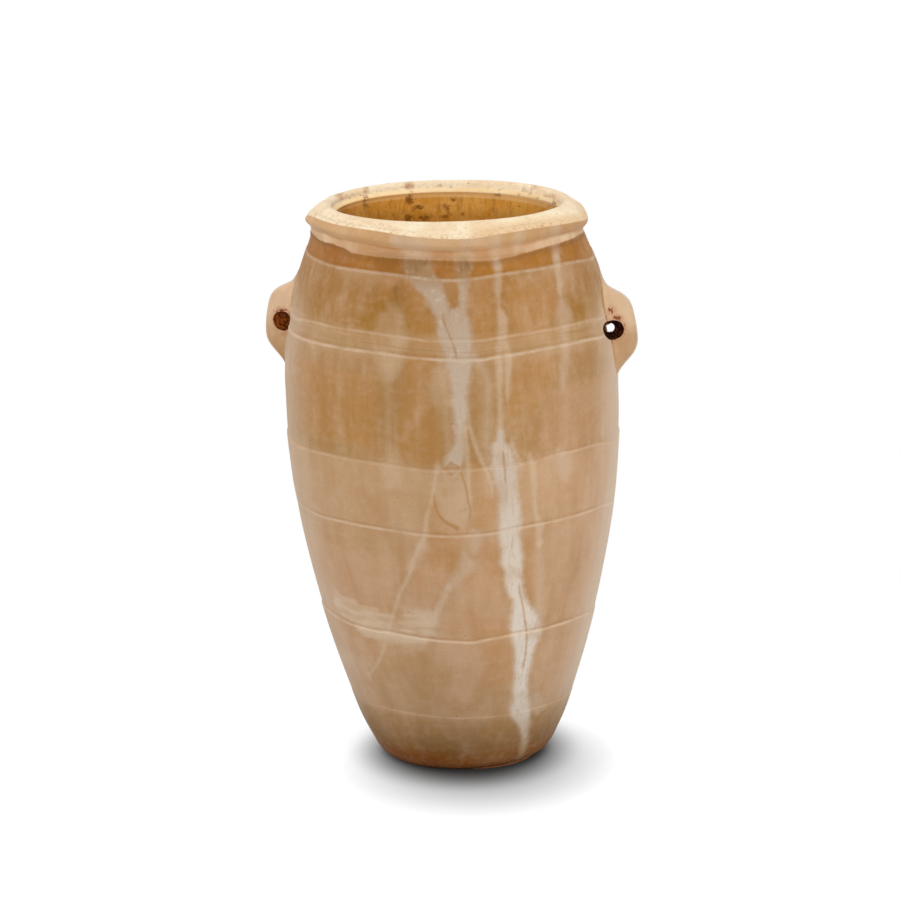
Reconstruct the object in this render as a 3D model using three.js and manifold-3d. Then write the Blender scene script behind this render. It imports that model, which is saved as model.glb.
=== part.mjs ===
// A tall stone jar with a rolled rim and two pierced lugs, as in ancient Egyptian calcite vessels.
// Units are millimetres, +Z is up, the origin is the centre of the flat foot, the lugs lie on the X axis.
// The real jar is cut from one block. Its solids part only at the creases: under the rim, and round each lug.
import * as THREE from "three";
import { mergeVertices } from "three/addons/utils/BufferGeometryUtils.js";
import Module from "manifold-3d";

// Body: the outer wall rises from the foot to the belly and draws in to the crease under the rim
const footRadius = 25.7;
const bellyRadius = 58.7;
const bellyHeight = 134.8;
const creaseRadius = 47.6;
const bodyHeight = 188.6;
// Height share of the stretch and the share of the radius that it has gained, from foot to belly
const lowerWallShares = [
  [0, 0], [0.01, 0.1], [0.026, 0.163], [0.053, 0.221], [0.158, 0.406],
  [0.368, 0.664], [0.631, 0.891], [0.85, 0.985], [1, 1],
];
// Height share of the stretch and the share of the radius that is left to lose, from belly to crease
const upperWallShares = [
  [0.13, 0.985], [0.262, 0.93], [0.388, 0.824], [0.625, 0.61],
  [0.725, 0.5], [0.82, 0.33], [0.91, 0.16], [1, 0],
];

// Ledges: below each one the stone stands a little proud, and fades back into the wall
const ledgeDepth = 0.35;
const ledgeRise = 0.5;
const ledgeHeightShares = [0.122, 0.287, 0.5, 0.625, 0.83, 0.864, 0.969];
const ledgeFadeShares = [0.08, 0.12, 0.16, 0.12, 0.12, 0.03, 0.05];

// Hollow: a bored well with a round floor and a wall that is thicker towards the foot
const wallAtCrease = 8;
const wallAtBelly = 9.5;
const wallAtFoot = 10.5;
const floorThickness = 15;
const wellBowlHeight = 62;

// Rim: a rolled collar with a broad sloping top, a rounded crest and a small lip inside the mouth
const rimHeight = 11.4;
const rimRadius = 49.3;
const crestRadius = 41.3;
const mouthRadius = 39;
const lipHeight = 5.2;
const lipStep = 0.9;
const rimTiltDegrees = 1.2;
// Collar: share of the way out from the crease to the widest radius, and share of the rim's height
const collarShares = [[0, 0], [0.62, 0.2], [1, 0.4], [1, 0.52]];
// Top: share of the way in from the widest radius to the crest, and share of the rim's height
const topShares = [[0.1, 0.62], [0.52, 0.82], [1, 1]];
// Lip: share of the way in from the crest to the mouth, and share of the lip's height left above it
const lipShares = [[0.7, 0.12], [1, 1]];

// The foot was ground out of square: the axis leans towards -X while foot, ledges and lugs lie level
const leanDegrees = 2.02;

// Lugs: upright ears across the shoulder, with their greatest reach above the middle
const lugHeight = 34.2;
const lugBelowCrease = 16.9;
const lugFootHeight = bodyHeight - lugBelowCrease - lugHeight;
const lugReach = 8.9;
const lugRootThickness = 12.4;
const lugTipThickness = 9.4;
const lugRootDepth = 3;
const lugFlankDepth = 0.9;
const lugClearance = 0.3;
const lugRoundness = 0.62;
// Height share of the lug and the share of its reach by which it stands out from the wall.
// Both ends lie just below the wall's surface.
const lugOutlineShares = [
  [0, -0.04], [0.066, 0.09], [0.147, 0.28], [0.221, 0.54], [0.284, 0.73], [0.336, 0.83],
  [0.422, 0.93], [0.543, 0.99], [0.652, 1], [0.744, 0.97], [0.816, 0.88], [0.874, 0.7],
  [0.92, 0.47], [0.96, 0.22], [1, -0.04],
];

// Each lug is drilled from the front and from the back, and the two borings narrow to a waist where
// they meet, close to the wall. Insets run inwards and drops downwards from the middle of the front
// mouth. The right hole's back boring came in along the wall and left a groove there.
const holeHeightShare = 0.534;
const holeStandOff = 1.4;
const holeMouthRadius = 3.6;
const holeOverrun = 3;
const rightHole = {
  waistRadius: 1.9,
  waistInset: 1.9,
  waistDrop: 0.5,
  backInset: 2.4,
  backDrop: 1.9,
  groove: 16,
};
const leftHole = {
  waistRadius: 1.6,
  waistInset: 2.7,
  waistDrop: 0,
  backInset: 1.2,
  backDrop: 0,
  groove: 0,
};

// Fineness of the solids
const turnSides = 64;
const wallSteps = 20;
const wellSteps = 9;
const collarSteps = 5;
const topSteps = 9;
const lugSides = 14;
const drillSides = 20;
const curveSteps = 300;
const cutOverrun = 5;

const wasm = await Module();
wasm.setup();

// A curve through hand-chosen points, sampled so that it can be read at any first coordinate
function tableOf(points) {
  const samples = new THREE.SplineCurve(points.map(([a, b]) => new THREE.Vector2(a, b)))
    .getPoints(curveSteps);
  return (a) => {
    const next = samples.findIndex((sample) => sample.x >= a);
    if (next < 0) return samples[samples.length - 1].y;
    if (next === 0) return samples[0].y;
    const [low, high] = [samples[next - 1], samples[next]];
    return THREE.MathUtils.mapLinear(a, low.x, high.x, low.y, high.y);
  };
}

const wallRadius = tableOf([
  ...lowerWallShares.map(([up, out]) => [
    bellyHeight * up,
    footRadius + (bellyRadius - footRadius) * out,
  ]),
  ...upperWallShares.map(([up, out]) => [
    bellyHeight + (bodyHeight - bellyHeight) * up,
    creaseRadius + (bellyRadius - creaseRadius) * out,
  ]),
]);

const ledges = ledgeHeightShares.map((share, i) => ({
  height: bodyHeight * share,
  fade: bodyHeight * ledgeFadeShares[i],
}));

// How far the stone stands proud of the plain wall below the ledges
function ledgeProud(height) {
  const below = ledges
    .filter((ledge) => height < ledge.height)
    .map((ledge) => Math.max(0, 1 - (ledge.height - height) / ledge.fade));
  return ledgeDepth * Math.min(1, Math.max(0, ...below));
}

// The turned pieces are lathed round three.js's Y axis and stood up, the rest is built upright
function stoodUp(geometry) {
  return geometry.rotateX(Math.PI / 2);
}

// One closed surface with shared vertices and no collapsed faces
function closedGeometry(geometry) {
  const bare = geometry.clone();
  bare.deleteAttribute("normal");
  bare.deleteAttribute("uv");
  const merged = mergeVertices(bare);
  const kept = [];
  for (let i = 0; i < merged.index.count; i += 3) {
    const [a, b, c] = [0, 1, 2].map((k) => merged.index.getX(i + k));
    if (a !== b && b !== c && c !== a) kept.push(a, b, c);
  }
  merged.setIndex(kept);
  return merged;
}

function solidOf(geometry) {
  const closed = closedGeometry(geometry);
  return new wasm.Manifold(
    new wasm.Mesh({
      numProp: 3,
      vertProperties: new Float32Array(closed.attributes.position.array),
      triVerts: new Uint32Array(closed.index.array),
    }),
  );
}

function geometryOf(solid) {
  const { vertProperties, triVerts } = solid.getMesh();
  return new THREE.BufferGeometry()
    .setAttribute("position", new THREE.BufferAttribute(vertProperties, 3))
    .setIndex(new THREE.BufferAttribute(triVerts, 1));
}

function latheOf(points) {
  const profile = points.map(([radius, height]) => new THREE.Vector2(radius, height));
  return stoodUp(new THREE.LatheGeometry(profile, turnSides));
}

// Body
const leanSlope = Math.tan(THREE.MathUtils.degToRad(leanDegrees));

// The plain wall's rings, with a pair of rings at each ledge and none crowding it
function wallHeights() {
  const even = Array.from({ length: wallSteps + 1 }, (_, i) => (bodyHeight * i) / wallSteps);
  const footTurn = lowerWallShares.slice(1, 4).map(([up]) => bellyHeight * up);
  const free = [...even, ...footTurn].filter((height) =>
    ledges.every((ledge) => Math.abs(ledge.height - height) > 2 * ledgeRise),
  );
  const stepped = ledges.flatMap((ledge) => [ledge.height - ledgeRise, ledge.height]);
  return [...free, ...stepped].sort((a, b) => a - b);
}

// The wall as one solid with no hollow. At each bearing its radius is read at the height that the
// leaning axis gives it, which leaves the shoulder narrower on the side that the jar leans to.
function wallSolid(allowance) {
  const skin = wallHeights().map((height) => [
    wallRadius(height) + ledgeProud(height) + allowance,
    height,
  ]);
  const lathed = latheOf([[0, 0], ...skin, [0, bodyHeight]]);
  const places = lathed.attributes.position;
  for (let i = 0; i < places.count; i++) {
    const [x, y, height] = [places.getX(i), places.getY(i), places.getZ(i)];
    const share = wallRadius(height - x * leanSlope) / wallRadius(height);
    places.setXY(i, x * share, y * share);
  }
  return solidOf(lathed);
}

function wellRadius(height) {
  const up = THREE.MathUtils.clamp(height / bellyHeight, 0, 1);
  const above = THREE.MathUtils.clamp(
    (height - bellyHeight) / (bodyHeight - bellyHeight),
    0,
    1,
  );
  const thickness = wallAtFoot + (wallAtBelly - wallAtFoot) * up + (wallAtCrease - wallAtBelly) * above;
  return wallRadius(height) - thickness;
}

// The floor of the well is half an ellipse that meets the wall at wellBowlHeight
function wellSolid() {
  const wall = Array.from({ length: wellSteps + 1 }, (_, i) => {
    const height = THREE.MathUtils.lerp(bodyHeight, wellBowlHeight, i / wellSteps);
    return [wellRadius(height), height];
  });
  const bowlRadius = wall[wellSteps][0];
  const bowl = Array.from({ length: wellSteps }, (_, i) => {
    const angle = ((Math.PI / 2) * (i + 1)) / wellSteps;
    const drop = (wellBowlHeight - floorThickness) * Math.sin(angle);
    return [i + 1 < wellSteps ? bowlRadius * Math.cos(angle) : 0, wellBowlHeight - drop];
  });
  const mouth = [wall[0][0], bodyHeight + cutOverrun];
  return solidOf(latheOf([...bowl.reverse(), ...wall.reverse(), mouth, [0, mouth[1]]]));
}

// Rim
function rimGeometry() {
  const { lerp } = THREE.MathUtils;
  const top = bodyHeight + rimHeight;
  const collar = collarShares.map(([out, up]) => [
    lerp(creaseRadius, rimRadius, out),
    bodyHeight + rimHeight * up,
  ]);
  const slope = topShares.map(([inward, up]) => [
    lerp(rimRadius, crestRadius, inward),
    bodyHeight + rimHeight * up,
  ]);
  const lip = lipShares.map(([inward, down]) => [
    lerp(crestRadius, mouthRadius, inward),
    top - lipHeight * down,
  ]);
  const smooth = (points, steps) =>
    new THREE.SplineCurve(points.map(([radius, height]) => new THREE.Vector2(radius, height)))
      .getPoints(steps)
      .map(({ x, y }) => [x, y]);
  const outline = [...smooth(collar, collarSteps), ...smooth([...slope, ...lip], topSteps)];
  const inside = [
    [mouthRadius + lipStep, top - lipHeight - lipStep],
    [creaseRadius - wallAtCrease, bodyHeight],
  ];
  return tilted(latheOf([...outline, ...inside, outline[0]]));
}

// The rim grows taller towards +X, so its crest is tilted while its seat stays level
function tilted(geometry) {
  const places = geometry.attributes.position;
  const tilt = Math.tan(THREE.MathUtils.degToRad(rimTiltDegrees));
  for (let i = 0; i < places.count; i++) {
    const share = (places.getZ(i) - bodyHeight) / rimHeight;
    places.setZ(i, places.getZ(i) + places.getX(i) * tilt * share);
  }
  return geometry;
}

// Lugs: a stack of rounded sections that stand out from the wall, joined into one closed skin.
// Both lugs are built on the +X side, and the left one is then seen in a mirror.
function lugGeometry(wallAt) {
  const stand = tableOf(lugOutlineShares);
  const places = [];
  const rings = lugOutlineShares.map(([share]) => {
    const height = lugFootHeight + lugHeight * share;
    const wall = wallAt(height);
    const fullness = stand(share);
    const halfThickness = THREE.MathUtils.lerp(lugRootThickness, lugTipThickness, fullness) / 2;
    const flank = wall - lugFlankDepth;
    const reach = lugFlankDepth + lugReach * fullness;
    const section = [[wall - lugRootDepth, -halfThickness], [flank, -halfThickness]];
    for (let i = 1; i < lugSides; i++) {
      const angle = Math.PI * (i / lugSides - 1 / 2);
      const out = Math.cos(angle) ** lugRoundness;
      const along = Math.sign(Math.sin(angle)) * Math.abs(Math.sin(angle)) ** lugRoundness;
      section.push([flank + reach * out, halfThickness * along]);
    }
    section.push([flank, halfThickness], [wall - lugRootDepth, halfThickness]);
    return section.map(([x, y]) => places.push(x, y, height) / 3 - 1);
  });
  const faces = [];
  const count = rings[0].length;
  for (let r = 1; r < rings.length; r++) {
    for (let i = 0; i < count; i++) {
      const next = (i + 1) % count;
      const [a, b, c, d] = [rings[r - 1][i], rings[r - 1][next], rings[r][i], rings[r][next]];
      faces.push(a, b, d, a, d, c);
    }
  }
  const [bottom, top] = [rings[0], rings[rings.length - 1]];
  for (let i = 1; i < count - 1; i++) {
    faces.push(bottom[0], bottom[i + 1], bottom[i]);
    faces.push(top[0], top[i], top[i + 1]);
  }
  const geometry = new THREE.BufferGeometry();
  geometry.setAttribute("position", new THREE.Float32BufferAttribute(places, 3));
  geometry.setIndex(faces);
  return geometry;
}

// A round cut between two points, with its own radius at each
function roundCut(start, startRadius, end, endRadius) {
  const run = new THREE.Vector3().subVectors(end, start);
  const cone = new THREE.CylinderGeometry(endRadius, startRadius, run.length(), drillSides);
  const aim = new THREE.Quaternion().setFromUnitVectors(
    new THREE.Vector3(0, 1, 0),
    run.clone().normalize(),
  );
  const middle = new THREE.Vector3().addVectors(start, end).multiplyScalar(1 / 2);
  return solidOf(cone.applyQuaternion(aim).translate(middle.x, middle.y, middle.z));
}

// A tapered boring that starts outside the lug and narrows from its mouth to the waist
function boring(mouth, waist, waistRadius) {
  const run = new THREE.Vector3().subVectors(waist, mouth);
  const taper = (holeMouthRadius - waistRadius) / run.length();
  const start = mouth.clone().addScaledVector(run.normalize(), -holeOverrun);
  return roundCut(start, holeMouthRadius + taper * holeOverrun, waist, waistRadius);
}

// The two borings, and a plain bore that opens them into each other and runs on as the groove
function lugBore(wallAt, hole) {
  const height = lugFootHeight + lugHeight * holeHeightShare;
  const reach = wallAt(height) + holeStandOff;
  const half = lugRootThickness / 2;
  const front = new THREE.Vector3(reach, -half, height);
  const waist = new THREE.Vector3(reach - hole.waistInset, 0, height - hole.waistDrop);
  const back = new THREE.Vector3(reach - hole.backInset, half, height - hole.backDrop);
  const way = new THREE.Vector3().subVectors(back, waist).normalize();
  const near = waist.clone().addScaledVector(way, -hole.waistRadius);
  const far = back.clone().addScaledVector(way, hole.groove);
  return boring(front, waist, hole.waistRadius)
    .add(boring(back, waist, hole.waistRadius))
    .add(roundCut(near, hole.waistRadius, far, hole.waistRadius));
}

function mirrored(solid) {
  const flipped = geometryOf(solid).applyMatrix4(new THREE.Matrix4().makeScale(-1, 1, 1));
  const index = flipped.index.array;
  for (let i = 0; i < index.length; i += 3) {
    [index[i + 1], index[i + 2]] = [index[i + 2], index[i + 1]];
  }
  return solidOf(flipped);
}

// The wall's own radius behind each lug, on the +X side and, mirrored, on the -X side
const rightWall = (height) => wallRadius(height - bellyRadius * leanSlope);
const leftWall = (height) => wallRadius(height + bellyRadius * leanSlope);

const rightBore = lugBore(rightWall, rightHole);
const leftBore = mirrored(lugBore(leftWall, leftHole));
const root = wallSolid(lugClearance);
const rightLug = solidOf(lugGeometry(rightWall)).subtract(root).subtract(rightBore);
const leftLug = mirrored(solidOf(lugGeometry(leftWall))).subtract(root).subtract(leftBore);
const body = wallSolid(0).subtract(wellSolid()).subtract(rightBore).subtract(leftBore);

// The lean slides each level of the jar towards -X in step with its height
const lean = new THREE.Matrix4().makeShear(0, 0, 0, 0, -leanSlope, 0);

function stonePiece(name, geometry, colour) {
  const material = new THREE.MeshStandardMaterial({
    color: colour,
    roughness: 0.55,
    metalness: 0,
  });
  const piece = geometry.applyMatrix4(lean);
  piece.computeVertexNormals();
  const mesh = new THREE.Mesh(piece, material);
  mesh.name = name;
  return mesh;
}

const jar = new THREE.Group();
jar.add(
  stonePiece("body", geometryOf(body), "#b8916a"),
  stonePiece("rim", closedGeometry(rimGeometry()), "#dcc4a0"),
  stonePiece("left_lug", geometryOf(leftLug), "#c9a57b"),
  stonePiece("right_lug", geometryOf(rightLug), "#c9a57b"),
);

export default jar;
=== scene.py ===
import math

import bpy
import numpy as np
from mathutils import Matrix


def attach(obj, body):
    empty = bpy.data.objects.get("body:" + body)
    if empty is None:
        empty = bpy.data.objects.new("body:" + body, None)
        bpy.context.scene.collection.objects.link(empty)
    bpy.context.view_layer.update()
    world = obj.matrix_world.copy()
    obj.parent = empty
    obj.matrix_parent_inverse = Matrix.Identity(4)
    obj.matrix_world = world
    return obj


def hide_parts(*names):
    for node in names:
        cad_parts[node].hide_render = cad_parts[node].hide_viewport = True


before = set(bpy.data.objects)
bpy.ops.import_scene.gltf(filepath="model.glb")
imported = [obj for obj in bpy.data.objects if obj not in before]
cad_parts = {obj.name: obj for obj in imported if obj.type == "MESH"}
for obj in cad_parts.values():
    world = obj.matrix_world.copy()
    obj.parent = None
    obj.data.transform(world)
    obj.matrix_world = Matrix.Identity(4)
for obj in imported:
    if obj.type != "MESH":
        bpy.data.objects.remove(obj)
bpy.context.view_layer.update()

# Sizes of the jar, in millimetres, as in the solids
METRES = 0.001
FOOT_RADIUS = 25.7
BELLY_RADIUS = 58.7
BELLY_HEIGHT = 134.8
CREASE_RADIUS = 47.6
BODY_HEIGHT = 188.6
LOWER_WALL_SHARES = [
    (0, 0), (0.01, 0.1), (0.026, 0.163), (0.053, 0.221), (0.158, 0.406),
    (0.368, 0.664), (0.631, 0.891), (0.85, 0.985), (1, 1),
]
UPPER_WALL_SHARES = [
    (0.13, 0.985), (0.262, 0.93), (0.388, 0.824), (0.625, 0.61),
    (0.725, 0.5), (0.82, 0.33), (0.91, 0.16), (1, 0),
]
WALL_AT_CREASE = 8
WALL_AT_BELLY = 9.5
WALL_AT_FOOT = 10.5
FLOOR_THICKNESS = 15
BOWL_HEIGHT = 62
MOUTH_RADIUS = 43
LEAN = math.tan(math.radians(2.02))
RIM_HEIGHT = 11.4
RIM_TILT = math.tan(math.radians(1.2))
RIM_FORWARD_TILT = math.tan(math.radians(0.3))
RIM_SHIFT = 0.5

# Unevenness of hand work, in millimetres, and the angle in radians from which an edge is sharp
WAVE_COUNT = 7
WAVE_GAIN = 1.6
WALL_UNEVEN = 0.16
WALL_WORN = 0.12
FOOT_SWELL = 0.35
LEFT_HOLLOW = 0.35
BAND_GROOVE = 0.16
SHARP_ANGLE = math.radians(42)

# The camera, which is also used to place on the stone what was read off the photograph
PHOTO_SIDE = 900
CAMERA_TURN = math.radians(7)
CAMERA_RISE = math.radians(14)
CAMERA_DISTANCE = 1590
CAMERA_LENS = 180
SENSOR = 36
TARGET_LEFT = 5.3
TARGET_HEIGHT = 109.9
# The stretch of a line of sight that is searched for the stone, in millimetres from the middle of the jar
SEARCH_NEAR = -75
SEARCH_FAR = 40
SEARCH_STEPS = 1151
RIM_RADIUS_SEEN = 48.8

# Ground, lights and room. Lengths are in metres and powers in watts
WHITE = (1, 1, 1, 1)
GROUND_HALF = 6
SHADE_OFFSET = (-0.007, 0.0156, 0)
SHADE_SHARES = (1 / 0.0485, 1 / 0.0628, 0)
SHADE_CORE = 0.05
ROOM_LIGHT = 0.08
# name, place, aim, size and power
SOFTBOXES = [
    ("top_light", (-0.1, 0.35, 1.2), (0, 0, 0.1), (0.9, 0.7), 8.5),
    ("front_light", (0.1, -1.85, 0.72), (0, 0, 0.12), (1.1, 0.6), 25.4),
    ("left_light", (-1.4, -0.1, 0.3), (0, 0, 0.1), (0.8, 0.4), 7.5),
    ("right_light", (1.4, -0.1, 0.3), (0, 0, 0.1), (0.8, 0.4), 8.8),
]

# Ledges turned into the wall, each followed across the photograph: x and y of points on its bright line
LEDGE_PIXELS = {
    "neck": [(308, 254), (321, 262), (335, 266.5), (360, 270.5), (383, 273.3), (406, 276.2), (452, 280.2),
             (474, 278.5), (509, 273.3), (532, 270), (555, 265.5), (578, 261), (593, 257)],
    "band_top": [(293, 316), (314, 322), (337, 328), (360, 331), (383, 334.3), (406, 337.8), (435, 341.2),
                 (474, 341), (497, 338), (520, 334), (543, 330.5), (566, 326), (589, 320.4), (604, 316.3)],
    "band_foot": [(293, 333.6), (314, 342), (337, 347), (372, 352), (395, 355.4), (418, 358.2), (441, 359.8),
                  (474, 360.3), (497, 357), (520, 353.5), (543, 349), (566, 344.5), (589, 339.3), (603, 336)],
    "belly": [(295, 443.6), (326, 454), (360, 461), (395, 466), (435, 471), (474, 469.5), (526, 463),
              (560, 454), (589, 446.5), (614, 439.6)],
    "waist": [(300, 504), (320, 516), (349, 523), (383, 529), (423, 535), (446, 536.6), (474, 535.5),
              (497, 533), (520, 528), (543, 523.4), (578, 514.8), (601, 506), (614, 500)],
    "low": [(325.5, 609), (341, 620), (356, 626.3), (371, 630.4), (388, 632.7), (402, 635.5), (422, 639),
            (443, 641.6), (459, 642.4), (471, 643), (486, 640), (511, 635.3), (542, 629.4), (562, 623.3),
            (583, 615.6), (594, 609)],
    "foot": [(365, 702), (390, 709), (420, 715), (450, 718), (475, 718), (500, 716), (520, 712), (545, 705)],
}
# The arris of the rim, and the pale band at the crease under it: its upper and lower edge
RIM_PIXELS = {
    "arris": [(312, 217.5), (316, 219.5), (322, 221.5), (328, 223.5), (336, 225.5), (345, 227),
              (352, 228), (360, 229.5), (372, 231), (385, 233), (400, 236), (420, 238), (440, 239.5),
              (455, 239.8), (472, 239), (490, 236.5), (500, 234.5), (520, 231), (540, 227.7), (555, 225.7),
              (570, 223), (578, 221.5), (586, 219)],
    "crease_top": [(311.5, 230.5), (316, 232.5), (322, 234.5), (328, 237.5), (336, 240), (345, 241.5),
                   (360, 244), (375, 247), (390, 249.5), (405, 251), (430, 252.5), (455, 253), (480, 252),
                   (500, 249.5), (520, 246.5), (530, 245), (540, 242), (550, 239.5), (560, 237), (570, 234.5),
                   (578, 232.5), (585.5, 229)],
    "crease_foot": [(311.5, 236), (315, 239.5), (320, 242), (327, 243.5), (334, 246), (342, 249), (350, 252),
                    (360, 254), (370, 255.5), (380, 257), (400, 258.5), (420, 259.5), (450, 260.5),
                    (480, 261), (500, 259), (510, 257), (525, 253.5), (535, 251), (545, 248), (555, 245),
                    (562, 243), (570, 240), (575, 238.5), (580, 235.5), (585, 232.5)],
}
# Each ledge: its height where the photograph shows no more of it, how far the stone stands proud under it,
# and how far down the stone has come back to the plain wall
LEDGE_FACTS = {
    "neck": {"hidden": 182.8, "proud": 0.35, "fade": 9.4},
    "band_top": {"hidden": 163, "proud": 0.22, "fade": 5},
    "band_foot": {"hidden": 156.6, "proud": 0.4, "fade": 22},
    "belly": {"hidden": 117.9, "proud": 0.55, "fade": 60},
    "waist": {"hidden": 94.3, "proud": 0.35, "fade": 26},
    "low": {"hidden": 54.2, "proud": 0.45, "fade": 30},
    "foot": {"hidden": 22.8, "proud": 0.16, "fade": 26},
}
# The same height for the lines of the rim, with points where the arris is only just out of sight
RIM_HIDDEN = {
    "arris": (195.4, [(-1.85, 194.2), (-1.6, 193.5)]), "crease_top": (189.6,), "crease_foot": (187.4,),
}
# How the lines wander at the back, as bearing and height, and the shifts of bearing that smooth them
BACK_WANDER = [(-math.pi, 0.2), (-2.5, -0.4), (-2.0, 0.3), (2.0, 0.5), (2.5, -0.2), (math.pi, 0.2)]
LEDGE_SMOOTHING = (-0.06, -0.03, 0, 0.03, 0.06)

# Veins and marks, each as rows of y, left x and right x in the photograph
STRONG_VEINS = [
    # the left branch, from under the rim
    [(262, 404, 427), (270, 404, 430), (277, 408, 437), (285, 414, 441), (292, 421, 443), (300, 428, 446),
     (308, 431, 449), (316, 435, 453), (324, 440, 462)],
    # the right branch
    [(258, 458, 471), (265, 457, 471), (272, 457, 470), (280, 458, 468), (290, 459.5, 466.5),
     (300, 459.5, 466.5), (308, 458, 466), (316, 455, 467), (324, 446, 468)],
    # the trunk where they have met
    [(310, 450, 464), (316, 444, 467), (322, 440, 469), (330, 438, 470), (338, 440, 470.5), (346, 443, 471),
     (354, 445, 472), (362, 447, 472), (370, 449.5, 470.5), (380, 452, 468.5), (392, 453, 467),
     (404, 453.5, 467), (415, 454.5, 466), (425, 455.5, 464), (438, 456, 463), (448, 453, 464), (457, 447, 464),
     (464, 446, 461), (471, 450, 455)],
    # the lower vein down to the foot
    [(432, 498.5, 502.5), (440, 496, 504.5), (446, 492, 509), (452, 491.5, 512), (462, 492, 514.5),
     (474, 493, 516), (484, 496, 515.5), (496, 499, 517), (507, 499, 519.5), (516, 500, 520), (525, 500, 520),
     (535, 500, 519), (545, 502, 520), (552, 503, 521.5), (560, 501.5, 522), (570, 505, 521),
     (580, 506, 521.5), (590, 508, 523), (600, 513, 526), (606, 514, 530), (612, 513, 534), (622, 511.5, 540),
     (632, 511.5, 540), (640, 513, 537), (650, 515, 533), (662, 515.5, 530), (677, 515.5, 527), (692, 514, 527),
     (705, 512, 529), (714, 511.5, 529.5), (719, 514, 528.5), (724, 518, 528), (732, 520.5, 527),
     (742, 521, 527), (752, 518.5, 524), (758, 517, 521)],
]
THIN_VEINS = [
    [(412, 463, 467), (425, 467, 470.5), (440, 472, 475), (452, 476, 479), (465, 482, 485), (476, 487, 490),
     (490, 491, 493)],
    [(418, 463, 466), (440, 464.5, 467.5), (460, 465.5, 469), (480, 467, 470), (500, 468, 471),
     (513, 468.5, 471)],
    [(442, 511, 513), (452, 514, 516.5), (462, 518, 521), (469, 520.5, 522)],
    # the right-hand thread beside the lower vein
    [(456, 528, 532), (466, 530, 535.5), (480, 531.5, 536), (495, 532.5, 536), (510, 533.5, 537),
     (520, 534.5, 540), (527, 535.5, 544), (533, 536, 542), (545, 537, 541)],
    # threads through the shoulder
    [(263, 493.5, 500.5), (275, 495, 501), (288, 495, 500.5), (298, 496.5, 500), (306, 498, 499.5)],
    [(310, 499, 502), (318, 498, 506), (330, 498, 507), (342, 498, 505), (356, 496, 502), (370, 496.5, 502),
     (385, 497, 502), (400, 497.5, 502), (420, 498, 503), (436, 497, 504)],
    [(342, 503, 506), (355, 504.5, 511), (370, 505.5, 510.5), (382, 505.5, 509.5), (395, 506, 508.5)],
    [(256, 553.5, 559), (264, 554, 559.5), (272, 555, 560), (282, 557, 562), (291, 558, 561)],
    # the long slanting thread on the left
    [(466, 436, 439), (480, 434, 436.5), (495, 431, 434), (505, 429, 432), (520, 425, 428), (535, 423, 427),
     (545, 418.5, 422.5), (552, 415, 418), (567, 410, 413), (580, 405, 408.5), (592, 399, 402),
     (610, 393, 396), (630, 386.5, 389.5), (640, 384, 387), (650, 382, 384.5), (662, 376.5, 379.5),
     (670, 371.5, 374), (675, 368, 369.5)],
    [(586, 446, 450), (594, 442.5, 448), (602, 438.5, 445), (612, 435, 440), (619, 433, 436)],
]
FAINT_VEINS = [
    [(232, 398, 414), (238, 392, 420), (245, 395, 426), (252, 401, 428), (260, 404, 430), (272, 408, 432)],
    [(236, 460, 480), (241, 459, 476), (247, 460, 472), (255, 457, 473), (262, 457, 472), (270, 459, 470)],
    [(233, 490, 499), (245, 492, 501), (257, 492, 501), (268, 494, 501)],
    [(230, 513, 521), (240, 514, 523), (250, 515, 522)],
    [(225, 549, 558), (235, 550, 560), (250, 552, 560), (260, 554, 559)],
    [(356, 472, 478), (366, 477, 484), (378, 483, 489), (392, 485, 491), (410, 485, 490), (440, 485, 489),
     (470, 485, 488), (490, 486, 489)],
    [(300, 560, 564), (308, 558, 569), (318, 557, 572), (326, 559, 569), (345, 561, 567), (370, 561, 566),
     (386, 562, 565)],
    [(450, 556, 564), (458, 554, 569), (468, 556, 571), (478, 560, 568)],
    [(532, 467, 480), (539, 466, 481), (546, 469, 480), (552, 471, 476)],
    [(556, 462, 468), (563, 459, 475), (571, 457, 472), (580, 450, 463), (588, 446, 456)],
    [(544, 537, 542), (560, 537, 541), (580, 537, 541), (600, 536, 541), (612, 537, 543), (626, 538, 542)],
    # beside the lower vein, near the foot
    [(695, 533, 540), (701, 531, 544), (707, 531, 544), (712, 533, 540)],
    # beside the thread that slants down to the left
    [(544, 420, 428), (556, 414, 421), (570, 408, 414)],
]
# Brushed smears on both sides of the low ledge
SMEARS = [
    [(594, 334, 338), (601, 332, 352), (607, 334, 368), (613, 338, 384), (618, 344, 396), (623, 352, 408),
     (628, 366, 420), (632, 384, 424)],
    [(614, 404, 436), (621, 402, 439), (626, 402, 438), (632, 400, 436)],
    [(626, 356, 372), (631, 358, 390), (635, 364, 406), (639, 374, 430), (643, 390, 424)],
]
PALE_CLOUDS = [
    [(308, 386, 398), (314, 383, 402), (321, 381, 405), (329, 380, 407), (337, 386, 408), (343, 394, 407)],
    [(352, 374, 390), (358, 375, 406), (366, 377, 404), (373, 384, 398)],
    [(362, 439, 446), (370, 436, 450), (380, 432, 452), (390, 429, 453), (400, 432, 453), (412, 438, 453),
     (426, 441, 454), (440, 446, 454)],
    [(468, 441, 456), (476, 437, 461), (488, 435.5, 466), (500, 436, 468), (510, 438.5, 470.5),
     (518, 443, 470), (524, 452, 466)],
    [(456, 386, 398), (465, 381, 404), (474, 381, 406), (483, 384, 403)],
    [(645, 331, 382), (655, 336, 379), (664, 341, 373), (672, 350, 368)],
]
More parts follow.
